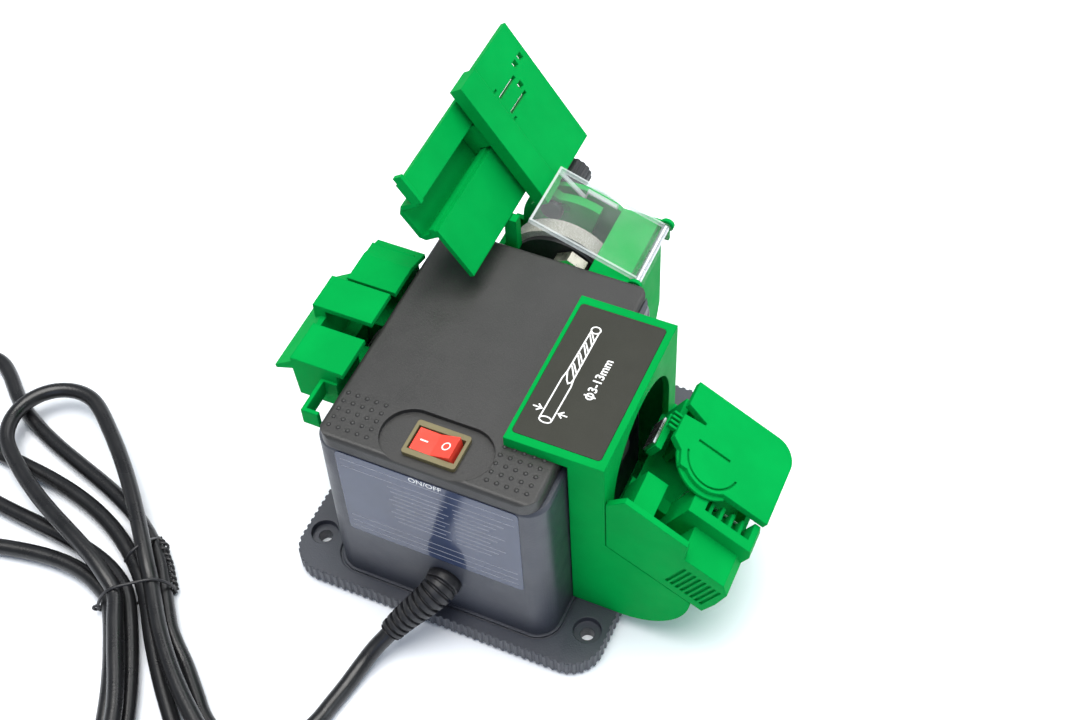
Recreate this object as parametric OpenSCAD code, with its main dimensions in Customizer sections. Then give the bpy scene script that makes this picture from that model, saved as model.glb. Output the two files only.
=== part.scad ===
// Multi-purpose bench sharpener with knife, drill and chisel stations.
// Origin at the base centre on the standing surface, +X right, +Y back, +Z up, millimetres.

/* [Base] */
// Width of the base plate
base_w = 130; // [124:1:150]
// Depth of the base plate
base_d = 139; // [134:1:160]
// Thickness of the base plate
base_t = 7.5; // [6:0.5:12]
// Corner radius of the base plate
base_r = 13; // [8:0.5:18]
// Pitch of the ribs round the base edge
rib_pitch = 3; // [2:0.25:5]
// Depth of the ribs round the base edge
rib_depth = 0.6; // [0.3:0.1:1]
// Mounting hole spacing across the base
hole_x = 114; // [110:1:118]
// Mounting hole spacing from front to back
hole_y = 105; // [100:1:118]
// Mounting hole diameter
hole_d = 5.5; // [4:0.5:6.5]
// Counterbore diameter of a mounting hole
cbore_d = 11; // [9:0.5:12]
// Counterbore depth of a mounting hole
cbore_t = 3; // [1.5:0.5:4]
// Height that the rubber feet stand proud
foot_h = 1.5; // [1:0.5:4]
// Diameter of a rubber foot
foot_d = 14; // [10:1:16]

/* [Housing] */
// Width of the housing at its foot
body_w = 92; // [90:1:96]
// Depth of the housing at its foot
body_d = 108.6; // [106:0.2:114]
// Height of the housing from base plate to rim
body_h = 82; // [80:1:90]
// Wall thickness of the housing
wall = 2.6; // [2:0.2:3.4]
// Corner radius of the housing
body_r = 9; // [6:0.5:12]
// Lean of each housing side from foot to rim
draft = 0.8; // [0.2:0.1:1.2]
// Distance of the housing centre in front of the base centre
body_fwd = 8; // [4:0.5:12]
// Thickness of the top cover
cover_t = 6; // [5:0.5:8]
// Inset of the cover from the housing's sides
cover_in = 2.6; // [1:0.2:4]

/* [Switch] */
// Width of the switch frame
switch_w = 21; // [19:0.5:24]
// Depth of the switch frame
switch_d = 15; // [13:0.5:17]
// Distance of the switch's middle behind the housing's front
switch_in = 12.8; // [11:0.2:14]
// Width of the sunk stadium round the switch
sunk_w = 43; // [38:1:46]
// Depth of the sunk stadium round the switch
sunk_d = 23; // [20:0.5:24]
// How deep the stadium is sunk
sunk_t = 2; // [1:0.25:3]
// Resting tilt of the rocker
rocker_tilt = 8; // [4:1:10]

/* [Drive] */
// Height of the chisel spindle
chisel_z = 75; // [74:0.5:77]
// Height of the knife and drill spindles
side_z = 68; // [66:0.5:68]
// Distance of the knife and drill spindles in from the housing's sides
side_in = 14; // [13.5:0.5:15]
// Spindle diameter
spindle_d = 8; // [6:0.5:8]
// Outer diameter of a spindle bearing
bearing_od = 16; // [13:0.5:17]
// Width of a spindle bearing
bearing_w = 5; // [4:0.5:6]
// Diameter of a grinding wheel
wheel_d = 45; // [40:0.5:45.5]
// Thickness of a grinding wheel
wheel_t = 7; // [5:0.5:8]
// Height of the motor axis
motor_z = 34; // [32:0.5:35]
// Diameter of the motor can
motor_d = 44; // [38:0.5:45]
// Length of the motor can
motor_l = 50; // [40:1:54]
// Diameter of the small belt pulleys
pulley_d = 16; // [14:0.5:18]
// Diameter of the chisel spindle's pulley
mid_pulley_d = 21; // [18:0.5:22]
// Width of the belt
belt_w = 6; // [4:0.5:7]
// Thickness of the belt
belt_t = 1.5; // [1:0.25:2]

/* [Knife guide] */
// Reach of the knife guide out from the housing
knife_out = 26; // [24:1:30]
// Height of the low roof tabs
knife_z = 100.5; // [99:0.5:104]
// Rise of the middle roof tab
knife_rise = 3; // [2:0.5:5]
// Roof thickness
knife_t = 2.2; // [1.6:0.2:3]

/* [Drill port] */
// Width of the port's top plate
port_top_w = 38; // [34:1:40]
// Distance of the port's outer face from the middle
port_x = 60; // [59:0.5:62]
// Front face of the port, in front of the housing centre
port_front = 33; // [31:0.5:35]
// Back face of the port, behind the housing centre
port_back = 36.5; // [34:0.5:38]
// Thickness of the top plate
port_top_t = 5; // [4:0.5:7]
// Slope of the drill ramp
ramp_tilt = 30; // [28:0.5:32]
// Height where the ramp meets the port's face
ramp_z = 54.5; // [52:0.5:56]
// Radius of the rounded shoe under the ramp
shoe_r = 27.5; // [25:0.5:29]
// Radius of the arched mouth
arch_r = 27; // [24:0.5:28]

/* [Chisel station] */
// Depth of the rear housing behind the housing
rear_d = 35; // [34:0.5:38]
// Tilt of the chisel rail
rail_tilt = 55; // [52:0.5:58]
// Length of the chisel rail
rail_l = 62; // [58:1:66]
// Width of the carriage along the rail
carriage_l = 40; // [36:1:44]
// Length of the carriage plate down the slope
plate_l = 58; // [54:1:62]
// Depth of the spark guard
guard_d = 30; // [26:0.5:30.5]
// Resting tilt of the spark guard
guard_tilt = 19; // [18:0.5:21]
// Gap that sets the spark guard's length, from its free edge to the carriage
guard_gap = 0.4; // [0.3:0.1:4]
// Diameter of the lock knob
knob_d = 14; // [12:0.5:14]
// Range of the rail's tilt setting
tilt_range = 12; // [6:1:14]

/* [Cord] */
// Diameter of the mains cord
cord_d = 6.6; // [6:0.1:6.8]
// Diameter of the wire tie
tie_d = 1.4; // [1:0.1:1.6]

/* [Hidden] */
$fn = 48;

// Colours
black = "#3c3a37";
green = "#0fa54b";
steel = "#b9bcc0";
dark = "#2b2b2d";
white = "#e6e0d0";
copper = "#b87333";

// Clearances: sliding pieces, turning shafts, seated pieces
gap = 0.4;
run = 0.05;
seat = 0.1;

// Heights of the stacked casing
base_top = foot_h + base_t;
rim_z = base_top + body_h;
top_z = rim_z + cover_t;

// Inside of the housing
in_w = body_w - 2*draft - 2*wall;
in_d = body_d - 2*draft - 2*wall;
front_y = -body_d/2;
back_y = body_d/2;
switch_fwd = body_d/2 - switch_in;
side_x = body_w/2 - side_in;

// Stations along the drive, measured from the housing centre
plate_t = 4;
pulley_w = belt_w + 2;
belt_y = in_d/2 - pulley_w/2 - 4.9;
front_plate_y = -24;
rear_plate_y = belt_y - 12;
plate_bottom = side_z - bearing_od/2 - 2.5;
knife_wheel_y = 3.5;
drill_wheel_y = 0;
chisel_wheel_y = back_y + 14.2;
motor_in = 45.9;
motor_y = motor_in - in_d/2;
shaft_d = 6;
nut_af = 13;
nut_t = 6.5;
belt_pulleys = [
  [0, motor_z, pulley_d],
  [-side_x, side_z, pulley_d],
  [side_x, side_z, pulley_d],
  [0, chisel_z, mid_pulley_d]
];

// Moves a piece from the housing's frame to the base's frame
module frame() {
  translate([0, -body_fwd, 0]) children();
}

// Rounded rectangle about its centre
module rrect(w, d, r) {
  square([w - 2*r, d], center = true);
  square([w, d - 2*r], center = true);
  for (x = [-1, 1], y = [-1, 1]) translate([x*(w/2 - r), y*(d/2 - r)]) circle(r);
}

// Stadium about its centre, its long side along x
module stadium(w, d) {
  square([w - d, d], center = true);
  for (x = [-1, 1]) translate([x*(w - d)/2, 0]) circle(d = d);
}

// Block with rounded upright edges
module rblock(w, d, r, z0, z1) {
  translate([0, 0, z0]) linear_extrude(z1 - z0) rrect(w, d, r);
}

// Box from its two corners
module box(a, b) {
  translate(a) cube(b - a);
}

// Cylinder along Y
module bar(x, z, y0, y1, d) {
  translate([x, y0, z]) rotate([-90, 0, 0]) cylinder(d = d, h = y1 - y0);
}

// Profile in X and Z, extruded along Y
module along_y(y0, y1) {
  translate([0, y1, 0]) rotate([90, 0, 0]) linear_extrude(y1 - y0) children();
}

// Profile in Y and Z, extruded along X
module along_x(x0, x1) {
  translate([x0, 0, 0]) rotate([90, 0, 90]) linear_extrude(x1 - x0) children();
}

// Point and outward angle at length t round a rounded rectangle with straight sides a and b
function rim(t, a, b, r) =
  let (c = PI*r/2)
  t < a ? [[t - a/2, -b/2 - r], -90] :
  t < a + c ? let (q = -90 + 90*(t - a)/c) [[a/2 + r*cos(q), -b/2 + r*sin(q)], q] :
  t < a + c + b ? [[a/2 + r, t - a - c - b/2], 0] :
  t < a + 2*c + b ? let (q = 90*(t - a - c - b)/c) [[a/2 + r*cos(q), b/2 + r*sin(q)], q] :
  let (p = rim(t - a - b - 2*c, a, b, r)) [-p[0], p[1] + 180];

// Base plate and feet
rim_len = 2*(base_w + base_d - 4*base_r) + 2*PI*base_r;
rib_n = round(rim_len/rib_pitch);
rib_phase = [0, 0.15, 0.5, 0.65];
rib_cut = [0, rib_depth, rib_depth, 0];
foot_x = hole_x/2 - 2;
foot_y = hole_y/2 - 20;
foot_in = 2;
vent_w = 3;
vent_l = 40;
screw_x = in_w/2 - 5;
screw_y = in_d/2 - 5;
screw_d = 3.5;
screw_head_d = 7;
screw_head_t = 2.4;
boss_d = 9;
boss_h = 18;

module ribbed_outline() {
  a = base_w - 2*base_r;
  b = base_d - 2*base_r;
  polygon([
    for (k = [0:rib_n - 1], j = [0:3])
      let (p = rim((k + rib_phase[j])*rim_len/rib_n, a, b, base_r))
      p[0] - rib_cut[j]*[cos(p[1]), sin(p[1])]
  ]);
}

module at_holes() {
  for (x = [-1, 1], y = [-1, 1]) translate([x*hole_x/2, y*hole_y/2, 0]) children();
}

module at_screws() {
  frame() for (x = [-1, 1], y = [-1, 1]) translate([x*screw_x, y*screw_y, 0]) children();
}

module base_plate() {
  groove = 1;
  color(black) difference() {
    union() {
      translate([0, 0, foot_h]) linear_extrude(base_t) ribbed_outline();
      at_holes() cylinder(d = hole_d + 7, h = foot_h + 1);
    }
    at_holes() {
      translate([0, 0, -1]) cylinder(d = hole_d, h = base_top + 2);
      translate([0, 0, base_top - cbore_t]) cylinder(d = cbore_d, h = cbore_t + 1);
    }
    for (x = [-1, 1], y = [-1, 1])
      translate([x*foot_x, y*foot_y, foot_h - 1]) cylinder(d = foot_d + 2*seat, h = foot_in + 1);
    at_screws() {
      translate([0, 0, foot_h - 1]) cylinder(d = screw_d + 2*gap, h = base_t + 2);
      translate([0, 0, foot_h - 1]) cylinder(d = screw_head_d + 2*gap, h = screw_head_t + 1.4);
    }
    for (i = [-3:3])
      frame() translate([i*8, motor_y, foot_h - 1]) linear_extrude(base_t + 2) rotate(90) stadium(vent_l, vent_w);
    frame() translate([0, 0, base_top - groove]) linear_extrude(groove + 1) difference() {
      rrect(body_w + 4*groove, body_d + 4*groove, body_r + 2*groove);
      rrect(body_w + 2*groove, body_d + 2*groove, body_r + groove);
    }
  }
}

module rubber_feet() {
  color(dark) for (x = [-1, 1], y = [-1, 1])
    translate([x*foot_x, y*foot_y, 0]) cylinder(d = foot_d, h = foot_h + foot_in);
}

module housing_screws() {
  color(steel) at_screws() {
    translate([0, 0, foot_h + 0.4]) cylinder(d = screw_head_d, h = screw_head_t);
    translate([0, 0, foot_h + 1]) cylinder(d = screw_d, h = base_t + boss_h*0.6);
  }
}

// Housing and cover
relief_x = 3;
relief_z = 27;
relief_hole = 11;
knife_cut = [knife_wheel_y - wheel_t/2 - 2, knife_wheel_y + wheel_t/2 + 2];
ledge = 4;

module housing_outer() {
  round = 1.5;
  hull() {
    rblock(body_w, body_d, body_r, base_top, base_top + 0.01);
    rblock(body_w - 2*draft, body_d - 2*draft, body_r, rim_z - round, rim_z - round + 0.01);
    rblock(body_w - 2*draft - round, body_d - 2*draft - round, body_r, rim_z - 0.01, rim_z);
  }
}

module housing() {
  color(black) frame() {
    difference() {
      housing_outer();
      rblock(in_w, in_d, body_r - wall, base_top - 1, rim_z + 1);
      box([-body_w/2 - 1, knife_cut[0], side_z - wheel_d/2 - 2], [-in_w/2 + 1, knife_cut[1], rim_z - 1]);
      box([in_w/2 - 1, arch_y - arch_r + 3, side_z - wheel_d/2 - 2], [body_w/2 + 1, arch_y + arch_r - 3, rim_z - 1]);
      bar(0, chisel_z, in_d/2 - 1, back_y + 1, spindle_d + 4);
      bar(rear_nut_x, rear_nut_z, in_d/2 - 1, back_y + 1, stud_d + 2*seat);
      bar(relief_x, relief_z, front_y - 1, -in_d/2 + 1, relief_hole);
    }
    for (x = [-1, 1], y = [-1, 1]) translate([x*screw_x, y*screw_y, base_top]) difference() {
      union() {
        cylinder(d = boss_d, h = boss_h);
        translate([x > 0 ? 0 : -5, -1, 0]) cube([5, 2, boss_h]);
      }
      translate([0, 0, -1]) cylinder(d = screw_d + 2*seat, h = boss_h);
    }
    for (x = [-1, 1], y = [front_plate_y, rear_plate_y])
      translate([x*(in_w/2 - ledge/2) - ledge/2, y, plate_bottom - 8]) cube([ledge, plate_t, 8]);
    translate([0, 0, rim_z - 0.6]) linear_extrude(cover_t - 0.8) shoulder();
  }
}

// Raised rim beside the cover, behind the drill port
module shoulder() {
  intersection() {
    difference() {
      rrect(body_w - 2*draft - 1, body_d - 2*draft - 1.6, body_r);
      rrect(cover_w + 2*seat, cover_d + 2, body_r - cover_in);
    }
    translate([in_w/4, port_back + gap]) square(body_d);
  }
}

sunk_z = top_z - sunk_t;
cover_w = body_w - 2*draft - 2*cover_in;
cover_d = body_d - 2*draft;
switch_in_w = switch_w - 2;
switch_in_d = switch_d - 2;
switch_deep = 17;

module cover_outer() {
  intersection() {
    rblock(cover_w, cover_d, body_r - cover_in, rim_z, top_z);
    along_y(-cover_d, cover_d) rounded_top(cover_w);
    along_x(-cover_w, cover_w) rounded_top(cover_d);
  }
}

// Cover's section with both top edges rounded
module rounded_top(w) {
  r = 1.8;
  translate([-w/2 + r, rim_z - 1]) square([w - 2*r, cover_t + 1]);
  translate([-w/2, rim_z - 1]) square([w, cover_t + 1 - r]);
  for (x = [-1, 1]) translate([x*(w/2 - r), top_z - r]) circle(r);
}

module top_cover() {
  skin = 2.6;
  lip = 3;
  color(black) frame() difference() {
    cover_outer();
    difference() {
      rblock(in_w - 2*lip, in_d - 2*lip, body_r - wall, rim_z - 1, top_z - skin);
      box([-in_w, -in_d, rim_z - 2], [in_w, -switch_fwd + sunk_d/2 + 2, top_z]);
    }
    translate([0, -switch_fwd, 0]) {
      translate([0, 0, sunk_z]) linear_extrude(sunk_t + 1) stadium(sunk_w, sunk_d);
      box([-switch_in_w/2 - seat, -switch_in_d/2 - seat, rim_z - 3], [switch_in_w/2 + seat, switch_in_d/2 + seat, top_z]);
    }
  }
}

// Rocker switch
frame_t = 2;
rocker_z = sunk_z - 1.2;
rocker_w = switch_in_w - 3;
rocker_d = switch_in_d - 3.4;
trunnion_d = 2.4;

module switch_frame() {
  color("#8c7f5a") frame() translate([0, -switch_fwd, 0]) difference() {
    union() {
      rblock(switch_w, switch_d, 1.2, sunk_z, sunk_z + frame_t);
      box([-switch_in_w/2, -switch_in_d/2, sunk_z - switch_deep], [switch_in_w/2, switch_in_d/2, sunk_z]);
    }
    box([-rocker_w/2 - 1.2, -rocker_d/2 - gap, rocker_z - 9], [rocker_w/2 + 1.2, rocker_d/2 + gap, top_z + 1]);
    bar(0, rocker_z, -rocker_d/2 - 1.4, rocker_d/2 + 1.4, trunnion_d + 2*run);
  }
}

module switch_rocker() {
  h = rocker_w/2;
  color("#ff5a50") frame() translate([0, -switch_fwd, rocker_z]) rotate([0, -rocker_tilt, 0]) {
    along_y(-rocker_d/2, rocker_d/2)
      polygon([[-h, -2], [-h, 4], [0, 2.6], [h, 4], [h, -2], [2, -6], [-2, -6]]);
    bar(0, 0, -rocker_d/2 - 1.2, rocker_d/2 + 1.2, trunnion_d);
  }
}

module switch_terminals() {
  color("#c9a23f") frame() translate([0, -switch_fwd, sunk_z - switch_deep]) for (x = [-5, 5])
    box([x - 2.4, -0.4, -9], [x + 2.4, 0.4, 0]);
}

// Strain relief, cord and hank
cord_r = cord_d/2;
relief_at = [relief_x, front_y + 0.1, relief_z];
relief_end = [-11, -76, 12];
relief_way = [-0.4, -0.72, -0.57];
relief_ribs = 10;
relief_d0 = 14;
relief_d1 = 9.4;
lead_path = [
  [-11.1, -76.2, 11.8], [-14.5, -82.5, 8.3], [-17, -90, 5.2], [-18.8, -99, 3.7], [-20.5, -108, 3.4],
  [-22, -116, 3.4], [-25.5, -125, 3.4], [-31, -131, 3.4], [-38.5, -135, 3.4], [-47, -136.2, 3.4],
  [-55.5, -134.9, 3.4], [-63, -130.8, 3.4], [-69.2, -125.2, 3.4]
];

// Point on a Catmull-Rom curve through a list of points
function knot(p, i) = i < 0 ? 2*p[0] - p[1] : i >= len(p) ? 2*p[len(p) - 1] - p[len(p) - 2] : p[i];
function curve_point(p, u) =
  let (n = len(p) - 1, i = min(floor(u*n), n - 1), t = u*n - i)
  let (a = knot(p, i - 1), b = knot(p, i), c = knot(p, i + 1), d = knot(p, i + 2))
  0.5*(2*b + (c - a)*t + (2*a - 5*b + 4*c - d)*t*t + (3*b - a - 3*c + d)*t*t*t);
function curve(p, n) = [for (i = [0:n]) curve_point(p, i/n)];

function unit(v) = v/norm(v);
function heading(p, i) = unit(p[min(i + 1, len(p) - 1)] - p[max(i - 1, 0)]);

// Ring of points square to the path at point i
function ring(p, i, r, sides) =
  let (t = heading(p, i), s = unit(cross(t, [0, 0, 1])), u = cross(s, t))
  [for (k = [0:sides - 1]) p[i] + r*(cos(360*k/sides)*s + sin(360*k/sides)*u)];

// Closed tube along a path, with one radius for each point
module tube(p, radii, sides) {
  n = len(p);
  points = [for (i = [0:n - 1]) each ring(p, i, radii[i], sides)];
  walls = [
    for (i = [0:n - 2], k = [0:sides - 1])
      let (a = i*sides + k, b = i*sides + (k + 1) % sides, c = a + sides, d = b + sides)
      each [[a, c, b], [b, c, d]]
  ];
  first = [for (k = [1:sides - 2]) [0, k, k + 1]];
  last = [for (k = [1:sides - 2]) let (z = (n - 1)*sides) [z, z + k + 1, z + k]];
  polyhedron(points = points, faces = concat(walls, first, last));
}

module strain_relief() {
  n = 2*relief_ribs;
  start = relief_at - [0, 1.5, 0];
  path = concat([relief_at], bezier(start, start - [0, 8, 0], relief_end - 10*relief_way, relief_end, n), [relief_end]);
  radii = [for (i = [0:n + 1]) (relief_d0 + (relief_d1 - relief_d0)*i/n)/2 - ceil(i/2) % 2];
  color(dark) frame() tube(path, radii, 12);
}

module relief_bush() {
  flange_t = 3;
  color(dark) frame() {
    bar(relief_x, relief_z, front_y + 0.3, -in_d/2 + 1, relief_hole - 2*seat);
    bar(relief_x, relief_z, -in_d/2 + seat, -in_d/2 + flange_t, relief_hole + 4);
  }
}

module cord_clamp() {
  clamp_y = -in_d/2 + 6;
  color(black) frame() difference() {
    box([relief_x - 9, clamp_y, base_top], [relief_x + 9, clamp_y + 6, relief_z + 5]);
    bar(relief_x, relief_z, clamp_y - 1, clamp_y + 7, cord_d);
  }
}

module power_cord() {
  path = curve(lead_path, 40);
  color(dark) frame() tube(path, [for (p = path) cord_r], 10);
}

// Hank: strands gathered side by side at the tie, with loops at both ends
tie_at = [-113, -98];
tie_dir = -52;
strand = cord_d + 0.6;
low_z = cord_r + tie_d + 0.3;
high_z = low_z + 0.9*strand;
slots = [[1.5, low_z], [0.5, low_z], [-0.5, low_z], [-1.5, low_z], [1, high_z], [-1, high_z]];

function turned(a) = [cos(a), sin(a), 0];
function waist(k, along = 0) =
  [tie_at[0], tie_at[1], slots[k][1]] + slots[k][0]*strand*turned(tie_dir + 90) + along*turned(tie_dir);
function bezier(a, b, c, d, n) = [
  for (i = [0:n - 1])
    let (t = i/n)
    pow(1 - t, 3)*a + 3*t*pow(1 - t, 2)*b + 3*t*t*(1 - t)*c + pow(t, 3)*d
];

// Loop from strand a to strand b: way out, reach to the bend's centre, bend width, side it turns to,
// height at the bend's start and end, lift near the tie, pull at the tie and at the bend,
// turn past a half circle at each side, fan of the two strands at the tie
function loop(a, b, way, reach, w, side, z, lift, pull, past = 0, fan = [0, 0]) =
  let (
    out = abs(way - tie_dir) < 90 ? tie_dir : tie_dir + 180,
    mid = [tie_at[0], tie_at[1], 0] + reach*turned(way),
    bend = [for (i = [0:8])
      mid + w/2*turned(way + side*(90 + past)*(i/4 - 1)) + [0, 0, z[0] + (z[1] - z[0])*i/8]],
    near = [for (f = fan) reach*pull[0]*turned(out + f)],
    far = [for (f = [-side*past, side*past]) reach*pull[1]*turned(way + f)]
  )
  concat(
    bezier(waist(a), waist(a) + near[0] + [0, 0, lift[0]], bend[0] - far[0], bend[0], 9),
    [for (i = [0:7]) bend[i]],
    bezier(bend[8], bend[8] - far[1], waist(b) + near[1] + [0, 0, lift[1]], waist(b), 9)
  );

// Point in the tie's own directions: along the strands, across them, height
function by_tie(p) = [tie_at[0], tie_at[1], p[2]] + p[0]*turned(tie_dir) + p[1]*turned(tie_dir + 90);

on_floor = cord_r + 0.1;
on_cord = on_floor + strand;
back_way = 138;
hank_start = lead_path[len(lead_path) - 1];
tail_path = concat([waist(5)], [for (p = [
  [25, -9, 12.2], [50, -11.5, 12], [72, -19, 11.9], [88, -31, 11.4], [103, -44, 8.6], [112, -51.5, 7], [119, -57, 6.9]
]) by_tie(p)]);
hank_path = concat(
  [hank_start, hank_start + cord_d*turned(back_way)],
  bezier(hank_start + 2*cord_d*turned(back_way), hank_start + 20*turned(back_way), waist(0, 22), waist(0, 8), 5),
  loop(0, 1, 155, 140, 40, 1, [on_floor, on_floor], [0, 0], [0.38, 0.36], 20, [-4, 6]),
  loop(1, 2, -54, 108, 42, -1, [on_floor, on_floor], [0, 0], [0.62, 0.2]),
  loop(2, 3, 178, 122, 40, 1, [on_floor, on_floor], [0, 0], [0.26, 0.4], 16, [6, 14]),
  loop(3, 4, -53, 110, 66, 1, [on_floor, on_cord], [0, 2], [0.55, 0.22]),
  loop(4, 5, 144, 91, 40, 1, [on_cord + 0.4, on_cord + 0.4], [5, 5], [0.3, 0.45], 0, [4, 16]),
  curve(tail_path, 14)
);
hank_end = hank_path[len(hank_path) - 1];
plug_dir = hank_end - tail_path[len(tail_path) - 2];
plug_way = atan2(plug_dir[1], plug_dir[0]);
hank_len = len(hank_path);
function run_to(p, i) = i == 0 ? 0 : run_to(p, i - 1) + norm(p[i] - p[i - 1]);
hank_run = [for (i = [0:hank_len - 1]) run_to(hank_path, i)];
hank_gap = min([
  for (i = [0:hank_len - 1], j = [i + 1:hank_len - 1])
    if (hank_run[j] - hank_run[i] > 6*cord_d) norm(hank_path[i] - hank_path[j]) - cord_d
]);
echo(hank_points = hank_len, hank_length = hank_run[hank_len - 1], least_gap = hank_gap);

module cord_hank() {
  color(dark) frame() tube(hank_path, [for (p = hank_path) cord_r], 6);
}

module wire_tie() {
  wide = 4*strand + 2*tie_d + 1;
  tall = high_z + cord_r + tie_d + 0.4;
  color(black) frame() translate([tie_at[0], tie_at[1], 0]) rotate([0, 0, tie_dir + 90])
    along_y(-tie_d/2, tie_d/2) translate([0, tall/2]) difference() {
      rrect(wide, tall, 6);
      rrect(wide - 2*tie_d, tall - 2*tie_d, 6 - tie_d);
    }
}

plug_l = 36;
plug_t = 13.6;
plug_w0 = 13;
plug_w1 = 26;
pin_l = 19;
pin_d = 4;
pin_pitch = 18.6;

module at_plug() {
  frame() translate(hank_end) rotate([0, 0, plug_way - 90]) children();
}

module plug_body() {
  color(dark) at_plug() difference() {
    hull() {
      translate([-plug_w0/2, 0, -plug_t/2 + 1]) cube([plug_w0, 1, plug_t - 2]);
      translate([-plug_w1/2, plug_l*0.55, -plug_t/2]) cube([plug_w1, plug_l*0.45, plug_t]);
    }
    for (x = [-1, 1]) bar(x*pin_pitch/2, 0, plug_l - 8, plug_l + 1, pin_d + 2*seat);
  }
}

module plug_pins() {
  color("#d8c27a") at_plug() for (x = [-1, 1]) bar(x*pin_pitch/2, 0, plug_l - 8, plug_l + pin_l, pin_d);
}

// Motor
can_t = 1.8;
cap_t = 4;
motor_front = motor_y - motor_l/2;
motor_rear = motor_y + motor_l/2;
motor_bearing_d = 13;
core_d = motor_d - 2*can_t;
rotor_d = core_d*0.55;
core_l = motor_l*0.56;

module ring_y(x, z, y0, y1, d_out, d_in) {
  difference() {
    bar(x, z, y0, y1, d_out);
    bar(x, z, y0 - 1, y1 + 1, d_in);
  }
}

module motor_can() {
  color(steel) frame() ring_y(0, motor_z, motor_front, motor_rear, motor_d, motor_d - 2*can_t);
}

module motor_end_caps() {
  color("#7d8084") frame() for (y = [motor_front - cap_t, motor_rear])
    ring_y(0, motor_z, y, y + cap_t, motor_d, motor_bearing_d + 2*seat);
}

module stator_core() {
  color("#6a6d70") frame() ring_y(0, motor_z, motor_y - core_l/2, motor_y + core_l/2, core_d - 2*seat, rotor_d + 1);
}

module motor_cradles() {
  color(black) frame() for (y = [motor_front + 4, motor_rear - 10]) difference() {
    box([-motor_d/2 - 4, y, base_top], [motor_d/2 + 4, y + 6, motor_z - 4]);
    bar(0, motor_z, y - 1, y + 7, motor_d + 2*seat);
  }
}

module motor_bearings() {
  color(steel) frame() for (y = [motor_front - cap_t, motor_rear])
    ring_y(0, motor_z, y, y + cap_t, motor_bearing_d, shaft_d + 2*run);
}

module brush_holders() {
  comm_r = rotor_d*0.3;
  color("#b08d2e") frame() for (x = [-1, 1])
    box([x > 0 ? comm_r + gap : -core_d/2 + 1.5, motor_front + 4, motor_z - 3],
      [x > 0 ? core_d/2 - 1.5 : -comm_r - gap, motor_front + 9, motor_z + 3]);
}

module motor_shaft() {
  color(steel) frame() bar(0, motor_z, motor_front - cap_t - 2, belt_y + pulley_w/2 + 2, shaft_d);
}

module rotor_core() {
  slots_n = 12;
  color("#8a6a3a") frame() difference() {
    bar(0, motor_z, motor_y - core_l/2 + 1, motor_y + core_l/2 - 1, rotor_d - gap);
    bar(0, motor_z, motor_y - core_l/2, motor_y + core_l/2, shaft_d);
    for (i = [0:slots_n - 1])
      translate([0, 0, motor_z]) rotate([0, i*360/slots_n, 0])
        box([rotor_d/2 - 3, motor_y - core_l/2, -0.7], [rotor_d, motor_y + core_l/2, 0.7]);
  }
}

module commutator() {
  color(copper) frame() ring_y(0, motor_z, motor_front + 3, motor_front + 10, rotor_d*0.6, shaft_d);
}

module cooling_fan() {
  blades = 8;
  fan_y = motor_rear - 9;
  color(dark) frame() difference() {
    union() {
      bar(0, motor_z, fan_y, fan_y + 6, shaft_d + 6);
      bar(0, motor_z, fan_y, fan_y + 1.2, core_d - 4);
      for (i = [0:blades - 1])
        translate([0, 0, motor_z]) rotate([0, i*360/blades, 0])
          box([shaft_d/2 + 1, fan_y, -0.6], [core_d/2 - 2.5, fan_y + 6, 0.6]);
    }
    bar(0, motor_z, fan_y - 1, fan_y + 7, shaft_d);
  }
}

// Belt drive
module pulley(x, z, d, bore) {
  flange = 2*belt_t;
  difference() {
    union() {
      bar(x, z, belt_y - pulley_w/2, belt_y + pulley_w/2, d);
      for (y = [belt_y - pulley_w/2, belt_y + pulley_w/2 - 0.8]) bar(x, z, y, y + 0.8, d + flange);
    }
    bar(x, z, belt_y - pulley_w, belt_y + pulley_w, bore);
  }
}

module belt_loop(grow) {
  hull() for (p = belt_pulleys) translate([p[0], p[1]]) circle(d = p[2] + 2*gap + 2*grow, $fn = 40);
}

module motor_pulley() {
  color(steel) frame() pulley(0, motor_z, pulley_d, shaft_d);
}

module drive_belt() {
  color(dark) frame() along_y(belt_y - belt_w/2 + 0.3, belt_y + belt_w/2 - 0.3) difference() {
    belt_loop(belt_t);
    belt_loop(0);
  }
}

// Bearing plates and spindles
spindles = [[-side_x, side_z], [0, chisel_z], [side_x, side_z]];

module bearing_plate(y) {
  difference() {
    box([-in_w/2, y, plate_bottom], [in_w/2, y + plate_t, rim_z]);
    for (s = spindles) {
      bar(s[0], s[1], y - 1, y + plate_t + 1, bearing_od + 2*seat);
    }
  }
}

module front_bearing_plate() {
  color("#8d9094") frame() bearing_plate(front_plate_y);
}

module rear_bearing_plate() {
  color("#8d9094") frame() bearing_plate(rear_plate_y);
}

module spindle_bearings() {
  color(steel) frame() for (s = spindles, y = [front_plate_y, rear_plate_y])
    ring_y(s[0], s[1], y - (bearing_w - plate_t)/2, y + (bearing_w + plate_t)/2, bearing_od, spindle_d + 2*run);
}

// Spindle with a collar behind each bearing plate
module spindle(x, z, y_end) {
  collar = spindle_d + 3;
  bar(x, z, front_plate_y - 3, y_end, spindle_d);
  bar(x, z, front_plate_y + plate_t + 1.5, front_plate_y + plate_t + 3.5, collar);
  bar(x, z, rear_plate_y - 3.5, rear_plate_y - 1.5, collar);
}

// Grinding wheel on a bush, with its bore and a sunk face
module wheel(x, z, y) {
  sunk = 1;
  rotate_y = wheel_t/2;
  difference() {
    bar(x, z, y - rotate_y, y + rotate_y, wheel_d);
    bar(x, z, y - rotate_y - 1, y + rotate_y + 1, spindle_d);
    bar(x, z, y - rotate_y - 1, y - rotate_y + sunk, wheel_d*0.5);
  }
}

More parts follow.
